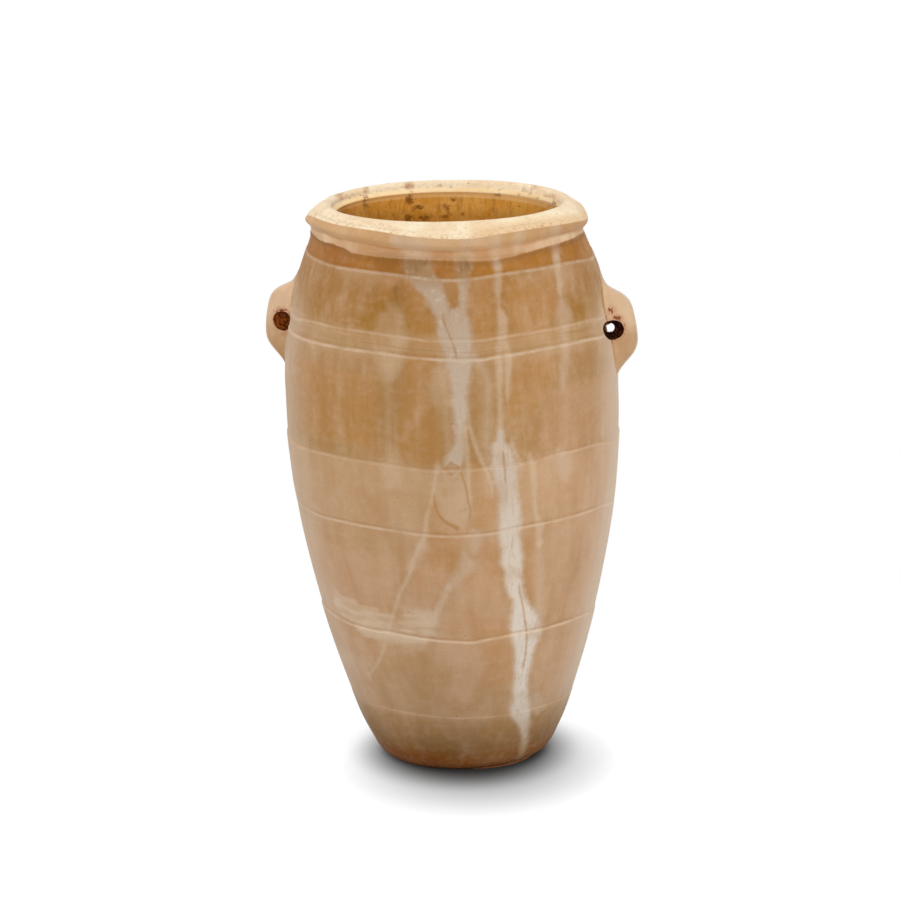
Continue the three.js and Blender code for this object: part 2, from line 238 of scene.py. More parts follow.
BLUSH_CLOUDS = [
    [(540, 306, 416), (552, 309, 412), (570, 313, 406), (590, 318, 396), (606, 326, 390), (618, 345, 386)],
    [(640, 340, 382), (655, 338, 380), (670, 344, 370), (690, 352, 372), (700, 360, 384)],
    [(642, 442, 470), (650, 444, 482), (660, 447, 484), (670, 449, 483), (680, 447, 478), (692, 445, 470)],
    [(448, 522, 600), (470, 530, 608), (500, 536, 606), (530, 540, 604), (560, 540, 600), (590, 540, 596),
     (612, 541, 590)],
    [(636, 540, 584), (655, 534, 578), (675, 532, 572), (690, 546, 566)],
    [(575, 412, 446), (590, 408, 440), (604, 410, 434)],
    [(378, 560, 612), (400, 552, 614), (425, 548, 614), (440, 540, 610)],
    [(572, 470, 500), (590, 456, 502), (606, 448, 505), (622, 444, 508)],
]
OCHRE_CLOUDS = [
    [(283, 471, 493), (300, 468, 493), (318, 471, 492), (332, 475, 490)],
    [(284, 382, 412), (294, 386, 422), (306, 406, 430), (318, 409, 435), (330, 409, 437), (340, 412, 438)],
    [(283, 504, 552), (296, 505, 556), (312, 509, 553), (328, 513, 548)],
    [(362, 513, 558), (376, 512, 556), (392, 506, 548), (408, 506, 538)],
    [(362, 404, 438), (376, 402, 434), (390, 400, 428), (405, 402, 436), (422, 398, 440), (440, 396, 444),
     (456, 400, 442)],
    [(364, 296, 372), (382, 296, 378), (410, 300, 380), (440, 306, 372)],
    [(510, 428, 436), (520, 428, 446), (528, 428, 474), (534, 428, 470)],
    [(540, 426, 464), (552, 421, 462), (566, 414, 456), (580, 412, 446)],
    [(470, 472, 486), (490, 473, 497), (508, 474, 498), (522, 474, 498)],
    [(548, 480, 500), (562, 474, 499), (578, 468, 502), (594, 466, 506)],
    [(540, 524, 536), (558, 525, 537), (576, 524, 537), (594, 528, 537)],
    [(612, 452, 472), (622, 448, 512), (632, 446, 511)],
    [(645, 484, 512), (662, 486, 513), (680, 484, 512)],
]
DULL_CLOUDS = [
    [(256, 376, 404), (264, 374, 405), (272, 378, 404)],
    [(261, 404, 428), (267, 404, 426), (273, 408, 418)],
    [(284, 396, 404), (290, 390, 412), (297, 389, 411), (303, 392, 404)],
    [(261, 458, 470), (266, 458, 470)],
]
OCHRE_THREADS = [
    # the brown wedge where the two upper veins part
    [(284, 443, 457), (292, 445, 458), (300, 449, 458), (306, 452, 457)],
    [(455, 502.5, 504.5), (468, 503.5, 505.5), (480, 504.5, 506)],
    [(588, 518.5, 520), (600, 521, 522.6), (618, 524, 525.6), (636, 525.6, 527.2), (652, 524.5, 526),
     (668, 522.5, 523.6)],
    [(318, 442.4, 444), (328, 445.4, 447.2), (338, 449.6, 451.4), (348, 453.4, 455.2), (356, 455.4, 457)],
    [(464, 448, 454), (467, 445, 460), (470, 444, 459), (473, 448, 455)],
    [(474, 461, 462.6), (482, 463.6, 465.2), (490, 465.8, 467.4), (500, 467, 469), (510, 469, 471),
     (517, 468.6, 471)],
    [(498, 433.6, 435), (508, 435.6, 437.4), (516, 438.6, 441), (521, 443, 447), (525, 448, 456),
     (528, 453, 460)],
]
# Dark residue on the far side of the mouth: x, y, half width and half height in pixels of the photograph,
# and strength
RESIDUE_SPOTS = [
    (339, 194, 5, 5, 0.7), (366, 190, 3, 6, 0.7), (409, 186, 5, 5, 1), (440, 186, 3, 2, 0.7),
    (500, 190, 4, 2, 0.5), (524, 190, 4, 3, 0.6), (535, 187, 4, 3, 0.6), (552, 196, 4, 3, 0.5),
    (410, 200, 6, 6, 1), (419, 207, 7, 3, 1), (411, 189, 4, 5, 0.5), (409, 218, 6, 4, 1),
    (424, 218, 9, 3.5, 1), (412, 210, 6, 3, 0.5), (365, 203, 3, 12, 0.7), (366, 197, 3, 3, 0.7),
    (340, 198, 4, 2, 0.6), (391, 202, 1.5, 3, 0.6), (378, 205, 2, 2, 0.4), (454, 199, 4, 3, 0.9),
    (446, 208, 4, 5, 0.9), (444, 217, 6, 3, 0.9), (463, 214, 2.5, 3, 0.8), (451, 187, 2, 2, 0.5),
    (484, 202, 3, 2, 0.5), (498, 195, 4, 3, 0.7), (492, 210, 5, 2, 0.6), (519, 194, 2.5, 2, 0.7),
    (530, 194, 3, 2.5, 0.8), (532, 189, 3, 3, 0.5), (537, 198, 3, 2, 0.6), (546, 197, 3, 3, 0.6),
    (554, 203, 5, 3, 0.7), (521, 206, 4, 2, 0.5), (470, 205, 6, 3, 0.4), (548, 207, 4, 2, 0.6),
]
# Reddish crumbs of earth round the cord holes, in the same way
CRUMB_SPOTS = [
    (611, 311, 5, 6, 0.8), (618, 318, 6, 4, 1), (606, 317, 3, 5, 0.7), (612, 342, 6, 3, 0.5),
    (624, 328, 3, 6, 0.6), (283, 311, 6, 4, 1), (278, 318, 3, 6, 0.6), (285, 334, 6, 3, 0.7),
]
# How far a spot fades out, as a share of its half width
SPOT_REACH = 1.7
# Areas whose colour is laid on softly, and the millimetres over which each fades
SOFT_AREAS = {
    "pale": (PALE_CLOUDS, 2.2), "blush": (BLUSH_CLOUDS, 4), "smears": (SMEARS, 1.8),
    "ochre": (OCHRE_CLOUDS, 3), "dull": (DULL_CLOUDS, 1.4),
}
# How far a strip tapers on past its ends, and the least step of height between two of its points
STRIP_TIP = 1.2
STRIP_STEP = 0.05


def smooth_table(points, samples=1500):
    """First and second coordinates along a smooth curve through the points."""
    p = np.array([points[0], *points, points[-1]], float)
    t = np.linspace(0, len(points) - 1, samples)
    i = np.minimum(t.astype(int), len(points) - 2)
    w = (t - i)[:, None]
    a, b, c, d = p[i], p[i + 1], p[i + 2], p[i + 3]
    u, v = (c - a) / 2, (d - b) / 2
    curve = (2 * b - 2 * c + u + v) * w**3 + (3 * c - 3 * b - 2 * u - v) * w**2 + u * w + b
    return curve[:, 0], curve[:, 1]


WALL_TABLE = smooth_table(
    [(BELLY_HEIGHT * h, FOOT_RADIUS + (BELLY_RADIUS - FOOT_RADIUS) * r) for h, r in LOWER_WALL_SHARES]
    + [(BELLY_HEIGHT + (BODY_HEIGHT - BELLY_HEIGHT) * h, CREASE_RADIUS + (BELLY_RADIUS - CREASE_RADIUS) * r)
       for h, r in UPPER_WALL_SHARES]
)


def wall(height):
    return np.interp(height, *WALL_TABLE)


def smoothstep(value, low, high):
    share = np.clip((value - low) / (high - low), 0, 1)
    return share * share * (3 - 2 * share)


def hump(value, middle, width):
    """1 at the middle, fading smoothly to 0 on both sides."""
    return np.exp(-((value - middle) / width) ** 2)


def leftness(bearing):
    """1 at the left of the jar and 0 at its right."""
    return 0.5 - 0.5 * np.sin(bearing)


def backness(bearing):
    """1 at the back of the jar and 0 at its front."""
    return 0.5 - 0.5 * np.cos(bearing)


def waves(bearing, height, seed, turns, climb):
    """A smooth unevenness of about -1 to 1 that closes on itself round the jar."""
    rng = np.random.default_rng(seed)
    total = 0
    for _ in range(WAVE_COUNT):
        around = rng.integers(1, turns + 1)
        upward = rng.uniform(-climb, climb)
        total = total + np.sin(around * bearing + upward * height + rng.uniform(0, 2 * math.pi))
    return total / WAVE_COUNT * WAVE_GAIN


def plain_radius(bearing, height):
    """Outer wall without its ledges, read where the leaning axis meets it, as uneven as hand work is."""
    seat = wall(height) * np.sin(bearing)
    uneven = WALL_UNEVEN * waves(bearing, height, 3, 5, 0.04) - WALL_WORN + FOOT_SWELL * hump(height, 11, 10)
    uneven = uneven - LEFT_HOLLOW * leftness(bearing) * (1 - smoothstep(height, 90, 100))
    return wall(height - seat * LEAN) + uneven


# Photograph to stone
FOCAL = CAMERA_LENS / SENSOR * PHOTO_SIDE
RIGHT = np.array([math.cos(CAMERA_TURN), math.sin(CAMERA_TURN), 0])
FORWARD = np.array([-math.sin(CAMERA_TURN) * math.cos(CAMERA_RISE),
                    math.cos(CAMERA_TURN) * math.cos(CAMERA_RISE), -math.sin(CAMERA_RISE)])
UP = np.cross(RIGHT, FORWARD)
TARGET = -TARGET_LEFT * RIGHT + np.array([0, 0, TARGET_HEIGHT])
EYE = TARGET - FORWARD * CAMERA_DISTANCE


def seen_on_wall(x, y):
    """Bearing in radians and height in millimetres of the stone at these places of the photograph.
    Bearing 0 is the front and grows towards the right lug."""
    x, y = np.array(x, float), np.array(y, float)
    ways = FORWARD * FOCAL + np.outer(x - PHOTO_SIDE / 2, RIGHT) + np.outer(PHOTO_SIDE / 2 - y, UP)
    ways /= np.linalg.norm(ways, axis=1)[:, None]
    run = CAMERA_DISTANCE + np.linspace(SEARCH_NEAR, SEARCH_FAR, SEARCH_STEPS)
    points = EYE + ways[:, None, :] * run[None, :, None]
    across = points[..., 0] + points[..., 2] * LEAN
    radius = np.hypot(across, points[..., 1])
    bearing = np.arctan2(across, -points[..., 1])
    stone = np.where(points[..., 2] > BODY_HEIGHT, RIM_RADIUS_SEEN, wall(points[..., 2] - across * LEAN))
    gap = radius - stone
    hit = gap < 0
    first = np.where(hit.any(axis=1), hit.argmax(axis=1), gap.argmin(axis=1))
    rows = np.arange(len(x))
    return bearing[rows, first], points[rows, first, 2]


def ledge_points(pixels, hidden, turned_away=()):
    """Bearings and heights of one line all round, closed on itself at the back.
    turned_away are points where the line is only just out of sight."""
    bearing, height = seen_on_wall(*np.array(pixels).T)
    back = [(around, hidden + wander) for around, wander in BACK_WANDER]
    return np.array(sorted([*zip(bearing, height), *back, *turned_away])).T


LEDGES = {name: ledge_points(pixels, LEDGE_FACTS[name]["hidden"]) for name, pixels in LEDGE_PIXELS.items()}
for line, pixels in RIM_PIXELS.items():
    LEDGES[line] = ledge_points(pixels, *RIM_HIDDEN[line])


def ledge_height(name, bearing):
    """The ledge's height, smoothed a little along its run."""
    total = 0
    for shift in LEDGE_SMOOTHING:
        turned = (bearing + shift + math.pi) % (2 * math.pi) - math.pi
        total = total + np.interp(turned, *LEDGES[name])
    return total / len(LEDGE_SMOOTHING)


def band_middle(top, foot):
    """Height of the soft groove between the two ledges of the band."""
    return (top + 2 * foot) / 3 + 0.3


def ledge_proud(bearing, height):
    """How far the stone stands proud of the plain wall because of the ledges above it."""
    most = 0
    for name, facts in LEDGE_FACTS.items():
        below = ledge_height(name, bearing) - height
        worn = 0.75 + 0.35 * waves(bearing, 0, len(name), 9, 0)
        step = smoothstep(below, -0.25, 0.3) * np.clip(1 - below / facts["fade"], 0, 1)
        most = np.maximum(most, facts["proud"] * worn * step)
    middle = band_middle(ledge_height("band_top", bearing), ledge_height("band_foot", bearing))
    return most - BAND_GROOVE * hump(height, middle, 0.7)


def outer_radius(bearing, height):
    return plain_radius(bearing, height) + ledge_proud(bearing, height)


def stood(bearing, height, radius):
    """Points in millimetres, on an axis that leans while every level stays level."""
    x = radius * np.sin(bearing) - height * LEAN
    y = -radius * np.cos(bearing)
    return np.stack([x, y, height], axis=-1)


def well_radius(height):
    up = np.clip(height / BELLY_HEIGHT, 0, 1)
    above = np.clip((height - BELLY_HEIGHT) / (BODY_HEIGHT - BELLY_HEIGHT), 0, 1)
    thickness = WALL_AT_FOOT + (WALL_AT_BELLY - WALL_AT_FOOT) * up + (WALL_AT_CREASE - WALL_AT_BELLY) * above
    return wall(height) - thickness


def new_object(name, vertices, faces, materials=()):
    mesh = bpy.data.meshes.new(name)
    mesh.from_pydata((np.asarray(vertices) * METRES).tolist(), [], faces)
    for material in materials:
        mesh.materials.append(material)
    mesh.validate()
    mesh.update()
    piece = bpy.data.objects.new(name, mesh)
    bpy.context.scene.collection.objects.link(piece)
    return piece


def ring_faces(rows, steps, closed=False):
    """Quads between rings of vertices, ring after ring. closed joins the last ring to the first."""
    r = np.arange(rows if closed else rows - 1)[:, None]
    c = np.arange(steps)[None, :]
    here, there = r * steps, (r + 1) % rows * steps
    quads = np.stack([here + c, here + (c + 1) % steps, there + (c + 1) % steps, there + c], axis=-1)
    return quads.reshape(-1, 4).tolist()


def capped_faces(rows, steps):
    """Quads between the rings, and one face over each end."""
    faces = ring_faces(rows, steps)
    faces.append(list(range(steps))[::-1])
    faces.append(list(range((rows - 1) * steps, rows * steps)))
    return faces


# Body
TURN_STEPS = 320
BEARINGS = np.linspace(-math.pi, math.pi, TURN_STEPS, endpoint=False)
FOOT_RING_HEIGHTS = [0, 0.35, 0.9, 1.6, 2.6, 3.8, 5.2, 6.8]
PLAIN_RING_STEP = 1.5
LEDGE_RING_OFFSETS = (-0.9, -0.45, -0.2, 0, 0.2, 0.5, 1)
GROOVE_RING_OFFSETS = (-0.6, 0, 0.6)
# Rings of the flat foot, as shares of its radius
FOOT_SHARES = (0.25, 0.5, 0.75, 0.93)
# Radius and height of the rings on the top, hidden under the rim
SEAT_RINGS = ((46.6, 189.1), (44, 189), (41.6, 188.6))
WELL_TOP = 187.4
WELL_RING_STEP = 2.2
BOWL_RINGS = 20


def wall_levels():
    """Nominal heights of the wall's rings, closer together at every ledge."""
    levels = [*FOOT_RING_HEIGHTS, *np.arange(8.4, BODY_HEIGHT - 0.5, PLAIN_RING_STEP)]
    for facts in LEDGE_FACTS.values():
        levels = [h for h in levels if abs(h - facts["hidden"]) > 1.1]
        levels += [facts["hidden"] + offset for offset in LEDGE_RING_OFFSETS]
    middle = band_middle(LEDGE_FACTS["band_top"]["hidden"], LEDGE_FACTS["band_foot"]["hidden"])
    levels += [middle + offset for offset in GROOVE_RING_OFFSETS]
    return np.array(sorted([*levels, BODY_HEIGHT - 0.4, BODY_HEIGHT]))


def followed(levels):
    """The rings' heights at every bearing, so that they follow the ledges as they wander."""
    hidden = sorted((facts["hidden"], name) for name, facts in LEDGE_FACTS.items())
    rows = []
    for bearing in BEARINGS:
        real = [ledge_height(name, bearing) for _, name in hidden]
        rows.append(np.interp(levels, [0, *(h for h, _ in hidden), BODY_HEIGHT], [0, *real, BODY_HEIGHT]))
    return np.array(rows).T


def level_ring(height, radius):
    return stood(BEARINGS, np.full(TURN_STEPS, height), radius)


def well_rings():
    """The bored well with the marks of the borer, and its round bottom."""
    rings = []
    for height in (*np.arange(WELL_TOP, BOWL_HEIGHT, -WELL_RING_STEP), BOWL_HEIGHT):
        marks = 0.12 * waves(BEARINGS, height * 6, 11, 2, 0.5) + 0.1 * math.sin(height * 2.1)
        rings.append(level_ring(height, well_radius(height) + marks))
    for angle in np.linspace(0, math.pi / 2, BOWL_RINGS + 2)[1:-1]:
        height = BOWL_HEIGHT - (BOWL_HEIGHT - FLOOR_THICKNESS) * math.sin(angle)
        rings.append(level_ring(height, well_radius(BOWL_HEIGHT) * math.cos(angle)))
    return rings


def body_piece(materials):
    heights = followed(wall_levels())
    turn = np.broadcast_to(BEARINGS, heights.shape)
    foot_radius = outer_radius(BEARINGS, np.zeros(TURN_STEPS))
    rings = [level_ring(0.0, share * foot_radius) for share in FOOT_SHARES]
    rings += list(stood(turn, heights, outer_radius(turn, heights)))
    bored = (len(rings) + 1) * TURN_STEPS
    rings += [level_ring(height, radius) for radius, height in SEAT_RINGS]
    rings += well_rings()
    vertices = np.concatenate([*rings, [[0, 0, 0.0]], [[-FLOOR_THICKNESS * LEAN, 0, FLOOR_THICKNESS]]])
    faces = ring_faces(len(rings), TURN_STEPS)
    foot, floor = len(vertices) - 2, len(vertices) - 1
    last = (len(rings) - 1) * TURN_STEPS
    for i in range(TURN_STEPS):
        following = (i + 1) % TURN_STEPS
        faces.append([foot, following, i])
        faces.append([floor, last + i, last + following])
    piece = new_object("body_stone", vertices, faces, materials)
    for polygon in piece.data.polygons:
        if min(polygon.vertices) >= bored and foot not in polygon.vertices:
            polygon.material_index = 1
    return piece


# Rim: its section, as radius and height, from the crease over the crest and down into the mouth
RIM_COLLAR = [
    (45.6, 187.2), (46.9, 187.5), (47.45, 188.2), (47.45, 189), (47.4, 189.7), (47.6, 190.4), (48.1, 191.3),
]
RIM_FACE = [(48.55, 192.3), (48.9, 193.4), (49.1, 194.4), (49.05, 195.1), (48.6, 195.6)]
RIM_SLOPE = [(46.9, 196.7), (45.2, 197.8), (43.4, 198.85), (42.1, 199.5)]
RIM_CREST = [(41.2, 199.75), (40.5, 199.6), (39.9, 199.1), (39.5, 198.3)]
RIM_LIP = [(39.3, 197.2), (39.2, 196), (39.3, 195.3), (39.65, 194.9)]
RIM_INSIDE = [(39.8, 194), (39.75, 191.5), (39.6, 188.6), (40, 186), (40.9, 183.2)]
RIM_SEAT = [(42.2, 182.9), (43.2, 184), (44.4, 186.2)]
RIM_SECTION = RIM_COLLAR + RIM_FACE + RIM_SLOPE + RIM_CREST + RIM_LIP + RIM_INSIDE + RIM_SEAT
RIM_SECTION_STEPS = 120
RIM_TURN_STEPS = 360
# The bored stone of the mouth lies inside this radius and below this height
RIM_BORED_RADIUS = 42.5
RIM_BORED_HEIGHT = 197


def rim_radius(radius, height, bearing, up, outside):
    """The section's radius with wear: worn edges, a wider slope at the back and a fuller face on the left."""
    edge, inner = hump(radius, 49, 1.6) * up, hump(radius, 41, 1.8) * up
    out = radius + 0.12 * waves(bearing, 0, 21, 5, 0) * min(1, up * 4)
    out = out + 0.15 * edge * waves(bearing, 0, 22, 13, 0)
    out = out + 0.25 * inner * waves(bearing, 0, 23, 7, 0) - 0.1 * up
    out = out + 1.9 * backness(bearing) * smoothstep(height, 194.6, 199.4) * smoothstep(radius, 47, 41)
    fuller = 0.9 * outside * hump(height, 192.6, 1.5) + 0.65 * hump(height, 197, 1.1)
    return out + leftness(bearing) * (fuller - 0.4 * hump(height, 195, 0.7))


def rim_ring(radius, height, bearing):
    """One ring of the rim, which follows the crease and the arris of the photograph."""
    up = np.clip((height - BODY_HEIGHT) / RIM_HEIGHT, 0, 1)
    outside = smoothstep(radius, 45, 47)
    out = rim_radius(radius, height, bearing, up, outside)
    joined = outside * (1 - smoothstep(height, 188.8, 191))
    out = out + joined * (outer_radius(bearing, np.full(RIM_TURN_STEPS, BODY_HEIGHT)) - CREASE_RADIUS)
    x = out * np.sin(bearing) - height * LEAN + RIM_SHIFT * smoothstep(height, 189, 194)
    y = -out * np.cos(bearing)
    sunk = 0.55 * backness(bearing) * smoothstep(height, 194.6, 199.4)
    lift = 0.12 * hump(radius, 41, 1.8) * up * waves(bearing, 0, 25, 9, 0) - 0.1 * up - sunk
    level = height + (lift + x * RIM_TILT - y * RIM_FORWARD_TILT) * up
    tilts = (x * RIM_TILT - y * RIM_FORWARD_TILT) * up
    crease, arris = ledge_height("crease_top", bearing), ledge_height("arris", bearing)
    followed_line = [np.interp(height, [BODY_HEIGHT, 190, 195.2, 199.5], [BODY_HEIGHT, c, a, 199.5 + tilt])
                     for c, a, tilt in zip(crease, arris, tilts)]
    return np.stack([x, y, level + outside * (np.array(followed_line) - level)], axis=-1)


def rim_piece(materials):
    section = np.array(smooth_table(RIM_SECTION, RIM_SECTION_STEPS)).T[:-1]
    bearing = np.linspace(-math.pi, math.pi, RIM_TURN_STEPS, endpoint=False)
    rings = [rim_ring(radius, height, bearing) for radius, height in section]
    faces = ring_faces(len(rings), RIM_TURN_STEPS, closed=True)
    piece = new_object("rim_stone", np.concatenate(rings), faces, materials)
    bored = [i for i, (radius, height) in enumerate(section)
             if radius < RIM_BORED_RADIUS and height < RIM_BORED_HEIGHT]
    low, high = min(bored) * RIM_TURN_STEPS, (max(bored) + 1) * RIM_TURN_STEPS
    for polygon in piece.data.polygons:
        if all(low <= v < high for v in polygon.vertices):
            polygon.material_index = 1
    return piece


# Lugs. Side 1 is the right one and side -1 the left one
LUG_HEIGHT = 34.2
LUG_FOOT = BODY_HEIGHT - 16.6 - LUG_HEIGHT
# How far each lug runs on below its foot and above its top
LUG_ENDS = {1: (-1.2, 4.2), -1: (-0.7, 3.2)}
LUG_REACH = 8.9
LUG_END_THICKNESS = 6.6
LUG_MIDDLE_THICKNESS = 11.2
LUG_BORING_DEPTH = 6.2
LUG_DEPTH = 5
LUG_ROUNDNESS = 0.86
LUG_FILLET = 3
LUG_OUTLINE_SHARES = [
    (0, -0.04), (0.045, 0.01), (0.09, 0.08), (0.132, 0.21), (0.18, 0.4), (0.225, 0.58), (0.27, 0.74),
    (0.315, 0.85), (0.38, 0.94), (0.488, 1), (0.586, 1.01), (0.669, 0.99), (0.734, 0.91), (0.781, 0.73),
    (0.811, 0.5), (0.849, 0.22), (0.904, 0.09), (0.96, 0.04), (1, -0.04),
]
LUG_ROWS = 111
LUG_COLUMNS = 81
# The share of a row that goes round the lug. The rest flows out into the wall
LUG_ROUND_SHARE = 0.8
HOLE_HEIGHT = LUG_FOOT + LUG_HEIGHT * 0.534
HOLE_MOUTH = 3.5
# The cord holes. The front boring runs on past its mouth, and the drill left the groove behind the hole
HOLES = {
    1: {"stand_off": 1.4, "waist_radius": 1.65, "waist_inset": 2.1, "waist_drop": 0.5,
        "back_inset": 3, "back_drop": 2, "groove": 17.5, "run_on": 9},
    -1: {"stand_off": 2.3, "waist_radius": 1.5, "waist_inset": 4.6, "waist_drop": -0.5,
         "back_inset": 3, "back_drop": 0, "groove": 0.6, "run_on": 2},
}
FRONT_WAY_ON = (0.12, -0.96, 0.24)
BACK_WAY_ON = (0, 1, 0)
LONGEST_BACK_RUN = 3
# Shares of a boring's length from waist to mouth, and how much wider it is further out
BORING_SHARES = (0.2, 0.4, 0.6, 0.75)
BORING_FLARE = ((0, 0.1), (0.1, 0.25), (0.3, 0.4), (0.6, 0.45))
TUBE_STEPS = 40
# How much wider the wall is cut than the lug, so that no sliver is left between them
WALL_CUT_MARGIN = 0.03


def lug_piece(name, side, materials):
    """The lug's skin: rounded sections up the wall, that flow out into it on both sides."""
    shares = np.linspace(0, 1, LUG_ROWS)
    fullness = np.interp(shares, *smooth_table(LUG_OUTLINE_SHARES))
    foot, top = LUG_ENDS[side]
    heights = LUG_FOOT + foot + (LUG_HEIGHT + top - foot) * shares
    u = np.linspace(-1, 1, LUG_COLUMNS)
    angle = np.clip(np.abs(u), 0, LUG_ROUND_SHARE) * math.pi / 2
    along = np.sin(angle) ** LUG_ROUNDNESS
    skirt = np.clip((np.abs(u) - LUG_ROUND_SHARE) / (1 - LUG_ROUND_SHARE), 0, 1) * math.pi / 2
    out = np.cos(angle) ** LUG_ROUNDNESS * (1 - np.sin(skirt))
    rows = []
    for height, full in zip(heights, fullness):
        worn = 0.12 * waves(u * 1.5, height, 31 + side, 4, 0.35)
        half = (LUG_END_THICKNESS + (LUG_MIDDLE_THICKNESS - LUG_END_THICKNESS) * full) / 2
        offset = np.sign(u) * (half * along + LUG_FILLET * (1 - np.cos(skirt)))
        stand = out * (LUG_REACH * full + worn * min(1, abs(full) * 3))
        flat = plain_radius(np.full(LUG_COLUMNS, side * math.pi / 2), height)
        bearing = side * (math.pi / 2 + np.arcsin(np.clip(offset / flat, -1, 1)))
        ledges = ledge_proud(bearing, height) * np.clip(1 - stand / 1.5, 0, 1)
        radius = plain_radius(bearing, height) + ledges
        reach = np.sqrt(radius**2 - offset**2) + stand - 0.12 * np.clip(1 - stand, 0, 1)
        line = [(reach[0] - LUG_DEPTH, offset[0]), *zip(reach, offset), (reach[-1] - LUG_DEPTH, offset[-1])]
        rows.append([(side * x - height * LEAN, y, height) for x, y in line])
    faces = capped_faces(len(rows), len(rows[0]))
    if side < 0:
        faces = [face[::-1] for face in faces]
    return new_object(name, np.concatenate(rows), faces, materials)


def tube(name, stations, materials):
    """A closed round cutter through stations of centre and radius, a little out of round."""
    centres = np.array([c for c, _ in stations], float)
    way = centres[-1] - centres[0]
    way /= np.linalg.norm(way)
    side = np.cross(way, [0, 0, 1])
    side /= np.linalg.norm(side)
    up = np.cross(side, way)
    angle = np.linspace(0, 2 * math.pi, TUBE_STEPS, endpoint=False)
    uneven = 1 + 0.03 * np.sin(2 * angle + 1) + 0.02 * np.sin(3 * angle)
    rings = [c + (r * uneven * np.cos(angle))[:, None] * side + (r * uneven * np.sin(angle))[:, None] * up
             for c, (_, r) in zip(centres, stations)]
    faces = [face[::-1] for face in capped_faces(len(rings), TUBE_STEPS)]
    return new_object(name, np.concatenate(rings), faces, materials)


def boring(waist, mouth, waist_radius, way_on, run_on, last_flare, grown):
    """Centres and radii along one cone from the waist to its mouth and on past it."""
    length = np.linalg.norm(mouth - waist)
    way = (mouth - waist) / length
    stations = [(waist - way * 1.2, waist_radius * 0.8 + grown), (waist, waist_radius + grown)]
    for share in BORING_SHARES:
        radius = waist_radius + (HOLE_MOUTH - waist_radius) * share**0.9
        stations.append((waist + way * length * share, radius + grown))
    stations.append((waist + way * length * 0.88, HOLE_MOUTH + grown))
    for share, wider in (*BORING_FLARE, (1, last_flare)):
        stations.append((mouth + np.array(way_on) * run_on * share, HOLE_MOUTH + wider + grown))
    return stations


def hole_cutters(side, grown, materials):
    """The front boring, the back boring and the plain bore between them, grown by a hair for the wall."""
    hole = HOLES[side]
    reach = wall(HOLE_HEIGHT - side * BELLY_RADIUS * LEAN) + hole["stand_off"]

    def place(inset, along, drop):
        level = HOLE_HEIGHT - drop
        return np.array([side * (reach - inset) - level * LEAN, along, level])

    front = place(0, -LUG_BORING_DEPTH, 0)
    waist = place(hole["waist_inset"], 0, hole["waist_drop"])
    back = place(hole["back_inset"], LUG_BORING_DEPTH, hole["back_drop"])
    radius, run_on, groove = hole["waist_radius"], hole["run_on"], hole["groove"]
    back_run = min(run_on, LONGEST_BACK_RUN)
    way = (back - waist) / np.linalg.norm(back - waist)
    cutters = {
        "boring_0": boring(waist, front, radius, FRONT_WAY_ON, run_on, 0.5, grown),
        "boring_1": boring(waist, back, radius, BACK_WAY_ON, back_run, -1.2, grown),
        "link": [(waist - way * radius, radius + grown), (waist + way, radius + grown),
                 (back, radius * 1.6 + grown), (back + way * groove * 0.4, radius * 1.5 + grown),
                 (back + way * groove, radius * 0.7 + grown)],
    }
    return [tube(name, stations, materials) for name, stations in cutters.items()]


def cut(piece, cutters):
    """The piece with the cutters taken out of it, for good."""
    for cutter in cutters:
        modifier = piece.modifiers.new("cut", "BOOLEAN")
        modifier.operation = "DIFFERENCE"
        modifier.object = cutter
        modifier.solver = "MANIFOLD"
        modifier.material_mode = "TRANSFER"
        bpy.context.view_layer.update()
        evaluated = piece.evaluated_get(bpy.context.evaluated_depsgraph_get())
        made = bpy.data.meshes.new_from_object(evaluated)
        piece.modifiers.clear()
        piece.data = made
    for cutter in cutters:
        bpy.data.objects.remove(cutter)


# Colour that is laid on soft-edged areas, kept on the vertices
def strip_edges(rows):
    """Left and right edge of a strip of the photograph as tables of height and bearing."""
    y, left, right = np.array(rows, float).T
    edges = []
    for x in (left, right):
        bearing, height = seen_on_wall(x, y)
        order = np.argsort(height)
        edges.append((height[order], bearing[order]))
    return edges


def within(strips, bearing, height, radius, soft):
    """1 inside the strips and 0 outside, fading over soft millimetres."""
    most = np.zeros(len(bearing))
    for rows in strips:
        (left_height, left), (right_height, right) = strip_edges(rows)
        low, high = max(left_height[0], right_height[0]), min(left_height[-1], right_height[-1])
        inside = np.minimum(bearing - np.interp(height, left_height, left),
                            np.interp(height, right_height, right) - bearing) * radius
        inside = np.minimum(inside, np.minimum(height - low, high - height) + soft)
        most = np.maximum(most, smoothstep(inside, -soft, soft))
    return most


def spotted(spots, x, y, z):
    """How much of the spots, read off the photograph, lies on these points of the stone."""
    most = np.zeros(len(x))
    from_eye = np.stack([x, y, z], axis=-1) - EYE
    depth = from_eye @ FORWARD
    column = PHOTO_SIDE / 2 + from_eye @ RIGHT / depth * FOCAL
    row = PHOTO_SIDE / 2 - from_eye @ UP / depth * FOCAL
    for spot_x, spot_y, half_width, half_height, strength in spots:
        away = np.hypot((column - spot_x) / half_width, (row - spot_y) / half_height)
        most = np.maximum(most, strength * (1 - smoothstep(away, 0, SPOT_REACH)))
    return most


